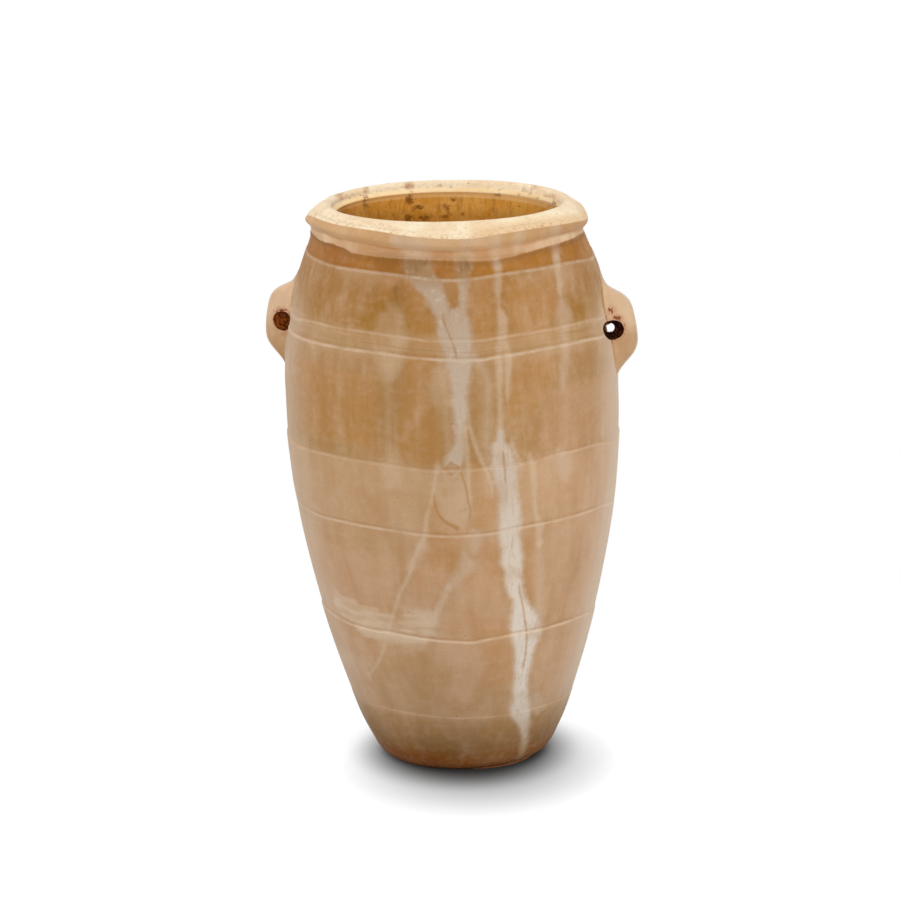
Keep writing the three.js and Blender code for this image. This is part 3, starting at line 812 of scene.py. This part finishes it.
def paint(piece):
    """Lays the soft-edged colours on the piece's vertices."""
    mesh = piece.data
    co = np.zeros(len(mesh.vertices) * 3)
    mesh.vertices.foreach_get("co", co)
    x, y, z = co.reshape(-1, 3).T / METRES
    across = x + z * LEAN
    bearing, radius = np.arctan2(across, -y), np.hypot(across, y)
    proud = radius - plain_radius(bearing, z)
    cream = smoothstep(z - ledge_height("crease_top", bearing), -0.2, 1) * 0.45
    masks = {name: within(strips, bearing, z, radius, soft) for name, (strips, soft) in SOFT_AREAS.items()}
    masks["cream"] = np.maximum(cream, smoothstep(z - ledge_height("arris", bearing), -0.35, 0.45))
    masks["wall"] = 1 - smoothstep(proud, 0.6, 1.6)
    # worn: pale where the stone stands proud at ledges and lugs, partly wear and partly a painted highlight
    # where they catch the light
    masks["worn"] = smoothstep(proud, 0.02, 0.8) * (0.35 + 0.65 * smoothstep(z, 152, 160))
    masks["residue"] = spotted(RESIDUE_SPOTS, x, y, z) * ((y > 0) & (radius < MOUTH_RADIUS))
    masks["crumbs"] = spotted(CRUMB_SPOTS, x, y, z) * (y < 0)
    for name, values in masks.items():
        layer = mesh.attributes.new(name, "FLOAT", "POINT")
        layer.data.foreach_set("value", values.astype(np.float32))


# Shader graphs
def srgb(red, green, blue):
    """Linear colour of an 8-bit screen colour."""
    channels = [c / 255 for c in (red, green, blue)]
    return (*[c / 12.92 if c <= 0.04045 else ((c + 0.055) / 1.055) ** 2.4 for c in channels], 1)


class Graph:
    """Short ways to add nodes to one material or world."""

    def __init__(self, owner):
        self.owner = owner
        owner.use_nodes = True
        self.tree = owner.node_tree
        self.tree.nodes.clear()

    def node(self, kind, inputs=(), **settings):
        node = self.tree.nodes.new(kind)
        for key, value in settings.items():
            setattr(node, key, value)
        for key, value in dict(inputs).items():
            self.put(node.inputs[key], value)
        return node

    def put(self, socket, value):
        if isinstance(value, bpy.types.NodeSocket):
            self.tree.links.new(value, socket)
        else:
            socket.default_value = value

    def math(self, operation, *values, clamp=False):
        node = self.node("ShaderNodeMath", operation=operation, use_clamp=clamp)
        for socket, value in zip(node.inputs, values):
            self.put(socket, value)
        return node.outputs[0]

    def vector(self, operation, output, *values):
        node = self.node("ShaderNodeVectorMath", dict(enumerate(values)), operation=operation)
        return node.outputs[output]

    def chain(self, operation, result, *others):
        for other in others:
            result = self.math(operation, result, other)
        return result

    def times(self, *values):
        return self.chain("MULTIPLY", *values)

    def plus(self, *values):
        return self.chain("ADD", *values)

    def most(self, *values):
        return self.chain("MAXIMUM", *values)

    def scaled(self, value, factor, offset):
        return self.math("MULTIPLY_ADD", value, factor, offset)

    def apart(self, value, middle):
        """How far the value is from the middle, either way."""
        return self.math("ABSOLUTE", self.math("SUBTRACT", value, middle))

    def joined(self, x, y, z=0.0):
        return self.node("ShaderNodeCombineXYZ", {0: x, 1: y, 2: z}).outputs[0]

    def noise(self, place, scale, detail=2, roughness=0.5, distortion=0, stretch=(1, 1, 1)):
        """Noise from 0 to 1, drawn out along an axis whose stretch is under 1."""
        if stretch != (1, 1, 1):
            place = self.vector("MULTIPLY", 0, place, stretch)
        node = self.node("ShaderNodeTexNoise", {
            "Vector": place, "Scale": scale, "Detail": detail, "Roughness": roughness,
            "Distortion": distortion,
        })
        return node.outputs["Fac"]

    def ease(self, value, low, high, start=0.0, end=1.0):
        node = self.node("ShaderNodeMapRange", interpolation_type="SMOOTHSTEP")
        names = ("Value", "From Min", "From Max", "To Min", "To Max")
        for name, number in zip(names, (value, low, high, start, end)):
            self.put(node.inputs[name], number)
        return node.outputs[0]

    def mix(self, share, first, second, blend="MIX"):
        node = self.node("ShaderNodeMix", data_type="RGBA", blend_type=blend)
        self.put(node.inputs[0], share)
        self.put(node.inputs[6], first)
        self.put(node.inputs[7], second)
        return node.outputs[2]

    def between(self, value, low, high, first, second):
        """From the first colour to the second as the value goes from low to high."""
        return self.mix(self.ease(value, low, high), srgb(*first), srgb(*second))

    def tint(self, base, colour, value, low, high, strength=1.0):
        """base, with up to this strength of the colour as the value goes from low to high."""
        return self.mix(self.ease(value, low, high, 0.0, strength), base, srgb(*colour))

    def cover(self, base, colour, *shares):
        return self.mix(self.times(*shares), base, srgb(*colour))

    def curve(self, value, points):
        node = self.node("ShaderNodeFloatCurve", {"Value": value})
        curve = node.mapping.curves[0]
        for i, (x, y) in enumerate(points):
            if i < 2:
                curve.points[i].location = (x, y)
            else:
                curve.points.new(x, y)
        for point in curve.points:
            point.handle_type = "AUTO_CLAMPED"
        node.mapping.update()
        return node.outputs[0]

    def ramp(self, value, stops):
        node = self.node("ShaderNodeValToRGB", {"Fac": value})
        elements = node.color_ramp.elements
        for i, (place, colour) in enumerate(stops):
            element = elements[i] if i < 2 else elements.new(place)
            element.position = place
            element.color = colour
        return node.outputs["Color"]

    def attribute(self, name):
        return self.node("ShaderNodeAttribute", attribute_name=name).outputs["Fac"]

    def specked(self, base, fine, strength):
        """The finest mottling of the stone, darker and lighter."""
        return self.mix(strength, base, self.mix(fine, srgb(110, 84, 56), srgb(240, 216, 186)), "OVERLAY")

    def end_as_stone(self, base, rough, height, strength, depth):
        """Matt stone whose bumps are as deep as depth, in metres."""
        bump = self.node("ShaderNodeBump", {"Height": height, "Strength": strength, "Distance": depth})
        shader = self.node("ShaderNodeBsdfPrincipled", {
            "Base Color": base, "Roughness": rough, "Normal": bump.outputs[0], "Specular IOR Level": 0.1,
        })
        self.node("ShaderNodeOutputMaterial", {"Surface": shader.outputs[0]})
        return self.owner


# The height in millimetres at which the share of height is 1
HEIGHT_SPAN = 210

# Colours by height in millimetres; darker and browner near the foot and darker in the neck, partly as painted
# shade where the foot turns down and the neck lies under the rim
ZONE_COLOURS = [
    (0, (128, 62, 2)), (4, (118, 72, 20)), (9, (134, 98, 52)), (21, (164, 131, 93)), (23.5, (181, 151, 117)),
    (52, (184, 150, 114)), (55, (184, 152, 118)), (92, (177, 143, 105)), (95, (179, 147, 110)),
    (117, (177, 142, 101)), (120, (164, 129, 81)), (154, (162, 124, 75)), (158, (171, 138, 95)),
    (162, (172, 137, 91)), (165, (153, 109, 34)), (182, (147, 99, 22)), (190, (168, 110, 44)),
]
# The veins' colours by height; they darken near the foot and in the neck partly as painted shade
VEIN_COLOURS = [
    (4, (168, 132, 92)), (14, (200, 184, 164)), (30, (222, 216, 209)), (75, (219, 210, 201)),
    (110, (204, 194, 183)), (150, (190, 175, 159)), (178, (184, 166, 146)), (184, (160, 128, 88)),
    (189, (170, 140, 104)),
]
# Soft clouds of colour: the painted layer, how soft its edge is, strength and colour
CLOUDS = [
    ("ochre", 1.0, 0.42, (178, 126, 62)), ("blush", 1.0, 0.42, (200, 163, 134)),
    ("pale", 1.3, 0.34, (202, 180, 154)),
]
# How plainly the painted highlight along each ledge shows; the painted shade above it takes half of this
LEDGE_LINES = {
    "neck": 0.5, "band_top": 0.3, "band_foot": 0.6, "belly": 0.32, "waist": 0.55, "low": 0.55, "foot": 0.08,
}


class StonePlace:
    """Where on the jar a point lies: millimetres, bearing as a share of the turn, and height as a share."""

    def __init__(self, g):
        self.g = g
        split = g.node("ShaderNodeSeparateXYZ", {0: g.node("ShaderNodeTexCoord").outputs["Object"]})
        x, self.y, self.z = (g.times(split.outputs[i], 1 / METRES) for i in range(3))
        self.x = g.scaled(self.z, LEAN, x)
        self.vector = g.joined(self.x, self.y, self.z)
        self.turn = g.scaled(g.math("ARCTAN2", self.x, g.times(self.y, -1.0)), 1 / (2 * math.pi), 0.5)
        radius = g.math("SQRT", g.plus(g.times(self.x, self.x), g.times(self.y, self.y)))
        self.round = g.times(radius, 2 * math.pi)
        self.level = g.times(self.z, 1 / HEIGHT_SPAN)

    def by_height(self, table):
        return self.g.ramp(self.level, [(height / HEIGHT_SPAN, srgb(*colour)) for height, colour in table])

    def strips(self, strips):
        """Millimetres inside the nearest edge of the strips, below 0 outside."""
        g, depths = self.g, []
        for rows in strips:
            edges = []
            (left_height, left), (right_height, right) = strip_edges(rows)
            middle = [(left[i] + right[i]) / 2 for i in (0, -1)]
            for height, bearing in ((left_height, left), (right_height, right)):
                height = np.array([height[0] - STRIP_TIP, *height, height[-1] + STRIP_TIP])
                bearing = np.array([middle[0], *bearing, middle[1]])
                keep = np.concatenate([[True], np.diff(height) > STRIP_STEP])
                points = zip(height[keep] / HEIGHT_SPAN, bearing[keep] / (2 * math.pi) + 0.5)
                edges.append(g.curve(self.level, list(points)))
            from_left = g.math("SUBTRACT", self.turn, edges[0])
            from_right = g.math("SUBTRACT", edges[1], self.turn)
            depths.append(g.math("MINIMUM", from_left, from_right))
        return g.times(g.most(*depths), self.round)

    def hole_distances(self):
        """Millimetres from the front mouth of each cord hole."""
        for side, hole in HOLES.items():
            reach = side * (float(wall(HOLE_HEIGHT - side * BELLY_RADIUS * LEAN)) + hole["stand_off"])
            mouth = (reach, -LUG_BORING_DEPTH, HOLE_HEIGHT + 0.8)
            yield self.g.vector("DISTANCE", "Value", self.vector, mouth)

    def above_ledge(self, name):
        """Millimetres above the ledge."""
        bearing, height = LEDGES[name]
        points = [(b / (2 * math.pi) + 0.5, h / HEIGHT_SPAN) for b, h in zip(bearing, height)]
        line = self.g.curve(self.turn, points)
        return self.g.times(self.g.math("SUBTRACT", self.level, line), float(HEIGHT_SPAN))


class StoneSurface(StonePlace):
    """The place on the outer stone, with the noises that break up its colours."""

    def __init__(self, g):
        super().__init__(g)
        place = self.vector
        self.broad = g.noise(place, 0.02, 3, 0.5, 0.6)
        self.patch = g.noise(place, 0.055, 4, 0.55, 1.2)
        self.mottle = g.noise(place, 0.085, 4, 0.5, 0.5, (1, 1, 0.7))
        self.grain = g.noise(place, 0.22, 2, 0.5, 0.3, (1, 1, 0.08))
        self.brushed = g.noise(place, 0.42, 1, 0.4, 0, (0.2, 0.2, 1))
        self.fine = g.noise(place, 2.2, 3, 0.6)
        self.edge = g.noise(place, 0.42, 3, 0.5, 0.3)
        self.streaks = g.noise(place, 1.0, 3, 0.6, 0.4, (1, 1, 0.12))
        self.wobble = g.scaled(self.edge, 2.4, -1.2)
        self.cream = g.attribute("cream")
        self.under_crease = g.times(self.above_ledge("crease_foot"), -1.0)

    def broken(self, name, soft):
        """A painted layer whose soft edge is broken up by the stone's own mottling."""
        g = self.g
        uneven = g.plus(g.scaled(self.edge, 0.7, -0.35), g.scaled(self.grain, 0.5, -0.25))
        return g.ease(g.plus(g.attribute(name), uneven), 0.5 - soft / 2, 0.5 + soft / 2)

    def ragged(self, strips, share):
        return self.g.plus(self.strips(strips), self.g.times(self.wobble, share))


def wall_colours(g, at):
    """Zones with soft clouds, pale where a ledge is worn and catches the light (wear with a painted highlight),
    and brown at the foot as painted shade where it turns down.
    """
    base = at.by_height(ZONE_COLOURS)
    base = g.tint(base, (192, 154, 120), at.broad, 0.42, 0.7, 0.3)
    base = g.tint(base, (176, 126, 66), at.patch, 0.5, 0.3, 0.24)
    for name, soft, strength, colour in CLOUDS:
        base = g.cover(base, colour, at.broken(name, soft), strength)
    # Pale where the stone stands proud: partly wear and partly a painted highlight where ledges and lugs catch
    # the light
    rubbed_and_lit, higher = g.ease(at.patch, 0.25, 0.6, 0.8, 1.0), g.ease(at.z, 24.0, 34.0, 0.12, 0.8)
    base = g.cover(base, (220, 194, 166), g.attribute("worn"), rubbed_and_lit, higher)
    calm = g.ease(at.z, 8.0, 28.0, 0.1, 1.0)
    for noise, strength in ((at.grain, 0.16), (at.mottle, 0.3)):
        base = g.cover(base, (204, 178, 150), calm, g.ease(noise, 0.45, 0.8, 0.0, strength))
        base = g.cover(base, (160, 118, 68), calm, g.ease(noise, 0.55, 0.2, 0.0, strength))
    # Painted shade: the foot, which turns down towards the ground, is darkened to brown
    foot = g.between(at.mottle, 0.4, 0.65, (134, 70, 0), (144, 84, 16))
    return g.mix(g.ease(at.z, 13.0, 1.0, 0.0, 0.85), base, foot)


def neck_colour(g, at, base):
    """Deep ochre between the crease and the first ledge: the stone's stain, darkened further as painted shade
    under the rim's overhang.
    """
    neck = g.times(g.ease(at.above_ledge("neck"), 0.0, 0.8), g.ease(at.under_crease, -0.3, 0.4), 0.95)
    deep = g.between(at.turn, 0.35, 0.6, (154, 95, 2), (166, 112, 38))
    deep = g.tint(deep, (158, 100, 34), at.patch, 0.45, 0.65, 0.5)
    deep = g.tint(deep, (176, 126, 64), at.mottle, 0.5, 0.7, 0.4)
    deep = g.tint(deep, (146, 92, 36), at.grain, 0.48, 0.25, 0.4)
    return g.mix(neck, base, deep)


def rim_face(g, at, base):
    face = g.between(at.patch, 0.4, 0.65, (199, 159, 110), (204, 170, 130))
    face = g.tint(face, (213, 181, 142), at.mottle, 0.45, 0.7, 0.5)
    face = g.tint(face, (188, 142, 90), at.mottle, 0.45, 0.25, 0.4)
    face = g.tint(face, (180, 138, 88), at.turn, 0.5, 0.64, 0.6)
    return g.mix(g.ease(at.cream, 0.0, 0.45, 0.0, 0.9), base, face)


def veins(g, at, base):
    """Smears, soft veils with a whiter core, and ochre threads."""
    white = at.by_height(VEIN_COLOURS)
    white = g.tint(white, (188, 162, 132), at.streaks, 0.5, 0.72, 0.5)
    white = g.tint(white, (178, 150, 118), at.mottle, 0.5, 0.3, 0.4)
    white = g.tint(white, (220, 208, 192), at.edge, 0.55, 0.75, 0.4)
    base = g.cover(base, (212, 194, 172), at.broken("smears", 1.5), g.ease(at.brushed, 0.35, 0.65, 0.3, 0.8))
    base = g.tint(base, (203, 184, 164), at.ragged(FAINT_VEINS, 0.6), -2.4, 2.0, 0.42)
    base = g.tint(base, (210, 192, 170), at.ragged(THIN_VEINS, 0.5), -1.2, 0.8, 0.4)
    strong = at.ragged(STRONG_VEINS, 0.75)
    base = g.mix(g.ease(strong, -2.0, 0.6, 0.0, 0.5), base, white)
    base = g.mix(g.ease(strong, -0.7, 1.4, 0.0, 0.8), base, white)
    base = g.tint(base, (164, 118, 58), at.ragged(OCHRE_THREADS, 0.3), -0.5, 0.4, 0.55)
    # veins of the same kind on the sides that the photograph doesn't show
    unseen = g.ease(g.apart(at.turn, 0.5), 0.25, 0.3)
    veils = g.noise(at.vector, 0.05, 4, 0.5, 0.8, (1, 1, 0.14))
    veils = g.math("SUBTRACT", 0.055, g.apart(veils, 0.62))
    veils = g.ease(g.scaled(at.wobble, 0.006, veils), -0.01, 0.05, 0.0, 0.62)
    return g.mix(g.times(unseen, veils), base, white)


def scratched_places(g, at, base):
    """Dull places with scratches that run down to the right, and the shade under the crease."""
    along = g.times(at.turn, at.round)
    down_right = g.math("SUBTRACT", g.times(along, 0.08), g.times(at.z, 0.07))
    up_right = g.plus(g.times(along, 0.5), g.times(at.z, 0.7))
    hatch = g.noise(g.joined(down_right, up_right), 1.1)
    dull = at.broken("dull", 1.0)
    base = g.cover(base, (140, 100, 52), dull, 0.36)
    base = g.cover(base, (108, 68, 28), dull, g.ease(hatch, 0.5, 0.72, 0.0, 0.34))
    shade = g.times(g.ease(at.under_crease, -0.1, 0.5), g.ease(at.under_crease, 2.6, 0.8))
    return g.cover(base, (120, 84, 36), shade, 0.35)


def painted_ledge_light_and_marks(g, at, base):
    """A painted highlight along each ledge where it catches the light, a painted shade line above it, and fine
    turning marks in the band.
    """
    lines, shades = [], []
    for name, strength in LEDGE_LINES.items():
        above = g.plus(at.above_ledge(name), g.times(at.wobble, 0.15))
        lines.append(g.ease(g.apart(above, -0.05), 0.8, 0.05, 0.0, strength))
        shades.append(g.ease(g.apart(above, 0.95), 0.8, 0.05, 0.0, 0.5 * strength))
    on_wall = g.attribute("wall")
    patchy = g.times(on_wall, g.ease(g.noise(at.vector, 0.14, 4, 0.65), 0.3, 0.62, 0.35, 1.0))
    # Painted shade above each ledge, then a painted highlight along it
    base = g.cover(base, (152, 110, 58), g.most(*shades), patchy)
    base = g.cover(base, (218, 198, 176), g.most(*lines), patchy)
    over_foot = at.above_ledge("band_foot")
    in_band = g.times(g.ease(over_foot, 0.4, 1.0), g.ease(at.above_ledge("band_top"), 0.0, -0.5), on_wall)
    marks = g.noise(g.joined(g.times(at.turn, 9.0), over_foot), 0.9, 3, 0.6)
    base = g.cover(base, (160, 116, 62), in_band, g.ease(marks, 0.5, 0.25, 0.0, 0.5))
    return g.cover(base, (206, 172, 136), in_band, g.ease(marks, 0.55, 0.8, 0.0, 0.5))


def rim_top(g, at, base):
    """Cream, with a darker bevel on the right, worn specks along its edge and stains at the mouth."""
    top = g.between(at.patch, 0.4, 0.66, (248, 233, 208), (240, 216, 186))
    top = g.tint(top, (236, 210, 180), at.mottle, 0.5, 0.72, 0.6)
    top = g.tint(top, (224, 186, 134), at.edge, 0.6, 0.75, 0.5)
    over_arris = at.above_ledge("arris")
    right_half = g.times(g.ease(at.turn, 0.52, 0.58), g.ease(at.turn, 0.86, 0.78))
    top = g.cover(top, (222, 186, 138), g.ease(over_arris, 3.4, 1.2), right_half, 0.6)
    specks = g.noise(at.vector, 0.9, 4, 0.65)
    worn_edge = g.times(g.ease(g.apart(over_arris, 0.0), 2.2, 0.2), g.ease(specks, 0.55, 0.67))
    top = g.cover(top, (168, 112, 52), worn_edge, 0.7)
    stains = g.scaled(specks, 1.6, g.plus(g.attribute("residue"), -0.95))
    top = g.tint(top, (160, 104, 42), stains, -0.3, 1.0, 0.7)
    return g.mix(g.ease(at.cream, 0.5, 0.95, 0.0, 0.95), base, top)


def painted_crease_highlight(g, at, base):
    """Painted highlight: the pale ragged band where the up-facing ledge at the crease catches the light,
    plainer at the sides.
    """
    ragged = g.times(at.wobble, 0.35)
    under = g.ease(g.plus(at.above_ledge("crease_top"), ragged), 0.9, -0.6)
    over = g.ease(g.math("SUBTRACT", ragged, at.under_crease), -0.35, 0.35)
    sides = g.ease(g.apart(at.turn, 0.51), 0.06, 0.2, 0.25, 0.92)
    pale = g.between(at.mottle, 0.4, 0.65, (230, 206, 176), (212, 180, 142))
    return g.mix(g.times(under, over, sides), base, pale)


def earth_at_holes(g, at, base):
    """A reddish stain round the cord holes with darker crumbs."""
    crumbs = g.noise(at.vector, 1.1, 4, 0.7)
    near = (g.ease(distance, 6.0, 3.4, 0.0, 0.5) for distance in at.hole_distances())
    earth = g.most(g.attribute("crumbs"), *near)
    base = g.tint(base, (178, 108, 62), earth, 0.0, 0.9, 0.45)
    crumb = g.ease(g.scaled(crumbs, 2.6, g.scaled(earth, 0.85, -1.8)), 0.0, 0.22)
    return g.cover(base, (112, 44, 14), crumb, g.ease(earth, 0.05, 0.3, 0.0, 0.9))


def painted_edge_sheen(g, at, base):
    """Painted sheen: the stone is mixed towards a pale colour where it turns away from the eye, most of all on
    the right.
    """
    facing = g.node("ShaderNodeLayerWeight", {"Blend": 0.5}).outputs["Facing"]
    middle = g.times(g.ease(at.z, 14.0, 34.0), g.ease(at.z, 178.0, 160.0))
    away = g.times(g.ease(facing, 0.42, 0.86, 0.0, 0.68), g.scaled(middle, 0.92, 0.08))
    return g.cover(base, (230, 214, 198), away, g.ease(at.turn, 0.3, 0.7, 0.55, 1.0))


def pits(g, at, base):
    cells = g.node("ShaderNodeTexVoronoi", {"Vector": at.vector, "Scale": 0.23}, feature="F1")
    pit = g.ease(cells.outputs["Distance"], 0.09, 0.03)
    return g.cover(base, (104, 70, 38), pit, g.ease(g.noise(at.vector, 0.06), 0.5, 0.62), 0.55)


def calcite():
    """Banded calcite: tan, ochre and pinkish stone with grey-white veins and pale worn ledges."""
    g = Graph(bpy.data.materials.new("calcite"))
    at = StoneSurface(g)
    base = wall_colours(g, at)
    for layer in (neck_colour, rim_face, veins, scratched_places, painted_ledge_light_and_marks, rim_top, painted_crease_highlight,
                  earth_at_holes, painted_edge_sheen, pits):
        base = layer(g, at, base)
    base = g.specked(base, at.fine, 0.26)
    height = g.plus(g.times(at.fine, 0.3), g.times(at.edge, 0.5))
    return g.end_as_stone(base, g.ease(at.patch, 0.3, 0.7, 0.46, 0.6), height, 0.25, 0.00008)


def bored_calcite():
    """The bored inside: ochre stone with the borer's rings, streaks and brown residue; its bright, saturated
    ochre is partly the stone's colour and partly painted light for the glow through the thin wall and between
    the inner walls.
    """
    g = Graph(bpy.data.materials.new("bored_calcite"))
    at = StonePlace(g)
    rings = g.noise(at.vector, 0.9, 4, 0.6, 0, (0.06, 0.06, 1))
    patch = g.noise(at.vector, 0.12, 4, 0.6, 0.8)
    blot = g.noise(at.vector, 0.2, 5, 0.66, 0.7, (1, 1, 0.6))
    streaks = g.noise(at.vector, 0.6, 5, 0.68, 0.4, (1, 1, 0.25))
    # Partly painted light: a brighter, more saturated ochre than the stone's own, for light that comes through
    # the thin wall and bounces inside
    base = g.between(patch, 0.35, 0.65, (210, 148, 56), (222, 170, 84))
    base = g.tint(base, (190, 120, 44), rings, 0.5, 0.75, 0.45)
    base = g.tint(base, (238, 194, 126), rings, 0.42, 0.25, 0.4)
    base = g.tint(base, (150, 90, 30), blot, 0.57, 0.68, 0.55)
    base = g.tint(base, (160, 98, 34), streaks, 0.52, 0.7, 0.6)
    base = g.tint(base, (238, 194, 122), streaks, 0.44, 0.28, 0.5)
    base = g.tint(base, (238, 198, 138), at.z, 192.6, 193.4, 0.6)
    lip = g.between(patch, 0.4, 0.65, (250, 230, 194), (246, 218, 172))
    base = g.mix(g.times(g.ease(at.z, 194.6, 195.2), 0.8), base, lip)
    grit = g.scaled(g.noise(at.vector, 0.7, 5, 0.7), 2.2, -1.15)
    base = g.tint(base, (114, 62, 6), g.plus(g.attribute("residue"), grit), 0.2, 1.0, 0.85)
    base = g.specked(base, g.noise(at.vector, 1.6, 3, 0.6), 0.25)
    return g.end_as_stone(base, 0.6, rings, 0.4, 0.0003)


def drill_dirt():
    """Dark earth and cord dirt in the lug holes, and bare rubbed stone in the groove behind them, paler than
    the wall outside as painted light against the groove's shade.
    """
    g = Graph(bpy.data.materials.new("drill_dirt"))
    at = StonePlace(g)
    crumbs = g.noise(at.vector, 1.3, 4, 0.6)
    redder = g.ease(at.x, -20.0, 20.0, 0.08, -0.06)
    base = g.between(g.plus(crumbs, redder), 0.44, 0.66, (40, 7, 1), (140, 72, 22))
    # Painted light: the groove's bare stone is made paler than the wall to lift its shade
    bare_and_lit = g.between(crumbs, 0.4, 0.7, (190, 152, 108), (202, 168, 130))
    base = g.mix(g.ease(at.y, 6.5, 9.5, 0.0, 0.95), base, bare_and_lit)
    return g.end_as_stone(base, 0.85, crumbs, 0.6, 0.0004)


def sees_background(g):
    """1 for the rays that show the background: to the camera, off metal and through glass."""
    path = g.node("ShaderNodeLightPath")
    return g.most(*(path.outputs[ray] for ray in ("Is Camera Ray", "Is Glossy Ray", "Is Transmission Ray")))


def ground():
    """White ground that keeps the jar's shadow near it and is plain white further out; near the foot its colour
    is darkened as a painted contact shadow.
    """
    g = Graph(bpy.data.materials.new("ground"))
    there = g.node("ShaderNodeTexCoord").outputs["Object"]
    shares = g.vector("MULTIPLY", 0, g.vector("ADD", 0, there, SHADE_OFFSET), SHADE_SHARES)
    away = g.vector("LENGTH", "Value", shares)

    def from_foot(depth_share):
        stretched = g.vector("MULTIPLY", 0, there, (1, depth_share, 0))
        return g.math("SUBTRACT", g.vector("LENGTH", "Value", stretched), FOOT_RADIUS * METRES)

    outwards = g.math("MULTIPLY_ADD", away, 1 / (1 - SHADE_CORE), -SHADE_CORE / (1 - SHADE_CORE), clamp=True)
    far = g.times(outwards, g.ease(from_foot(0.82), -0.0046, 0.0186), g.ease(from_foot(1), -0.001, 0.0065))
    # Painted contact shadow: the ground's colour is dark near the foot and pales further out
    tone_with_painted_shadow = g.ease(from_foot(1), 0.03, 0.07, 0.08, 0.5)
    lit = g.node("ShaderNodeBsdfDiffuse", {"Color": tone_with_painted_shadow})
    white = g.node("ShaderNodeEmission", {"Color": WHITE, "Strength": 1.0})
    share = g.times(sees_background(g), far)
    both = g.node("ShaderNodeMixShader", {0: share, 1: lit.outputs[0], 2: white.outputs[0]})
    g.node("ShaderNodeOutputMaterial", {"Surface": both.outputs[0]})
    return g.owner


def finish_piece(piece, node):
    piece.data.shade_smooth()
    piece.data.set_sharp_from_angle(angle=SHARP_ANGLE)
    paint(piece)
    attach(piece, "root")
    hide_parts(node)


STONE, BORED, DIRT = calcite(), bored_calcite(), drill_dirt()

body = body_piece([STONE, BORED])
rim = rim_piece([STONE, BORED])
left_lug = lug_piece("left_lug_stone", -1, [STONE])
right_lug = lug_piece("right_lug_stone", 1, [STONE])
for side, lug in ((-1, left_lug), (1, right_lug)):
    cut(lug, hole_cutters(side, 0, [DIRT]))
    cut(body, hole_cutters(side, WALL_CUT_MARGIN, [DIRT]))
for piece, node in ((body, "body"), (rim, "rim"), (left_lug, "left_lug"), (right_lug, "right_lug")):
    finish_piece(piece, node)

# Ground, light and camera
ground_mesh = bpy.data.meshes.new("ground")
corners = [(GROUND_HALF * x, GROUND_HALF * y, 0) for x, y in ((-1, -1), (1, -1), (1, 1), (-1, 1))]
ground_mesh.from_pydata(corners, [], [(0, 1, 2, 3)])
ground_mesh.materials.append(ground())
ground_plane = bpy.data.objects.new("ground", ground_mesh)
bpy.context.scene.collection.objects.link(ground_plane)


def softbox(name, place, aim, size, power):
    light = bpy.data.lights.new(name, "AREA")
    light.shape = "RECTANGLE"
    light.size, light.size_y = size
    light.energy = power
    lamp = bpy.data.objects.new(name, light)
    lamp.location = place
    from_aim = lamp.location - type(lamp.location)(aim)
    lamp.rotation_euler = from_aim.to_track_quat("Z", "Y").to_euler()
    bpy.context.scene.collection.objects.link(lamp)


for facts in SOFTBOXES:
    softbox(*facts)

world = bpy.data.worlds.new("studio")
bpy.context.scene.world = world
g = Graph(world)
dim, bright = (g.node("ShaderNodeBackground", {"Color": WHITE, "Strength": s}) for s in (ROOM_LIGHT, 1))
either = g.node("ShaderNodeMixShader", {0: sees_background(g), 1: dim.outputs[0], 2: bright.outputs[0]})
g.node("ShaderNodeOutputWorld", {0: either.outputs[0]})

camera_data = bpy.data.cameras.new("camera")
camera_data.lens = CAMERA_LENS
camera_data.sensor_width = SENSOR
camera_data.clip_end = 50
camera = bpy.data.objects.new("camera", camera_data)
camera.location = (EYE * METRES).tolist()
camera.rotation_mode = "XYZ"
camera.rotation_euler = (math.pi / 2 - CAMERA_RISE, 0, CAMERA_TURN)
bpy.context.scene.collection.objects.link(camera)
bpy.context.scene.camera = camera
bpy.context.scene.view_settings.view_transform = "Standard"
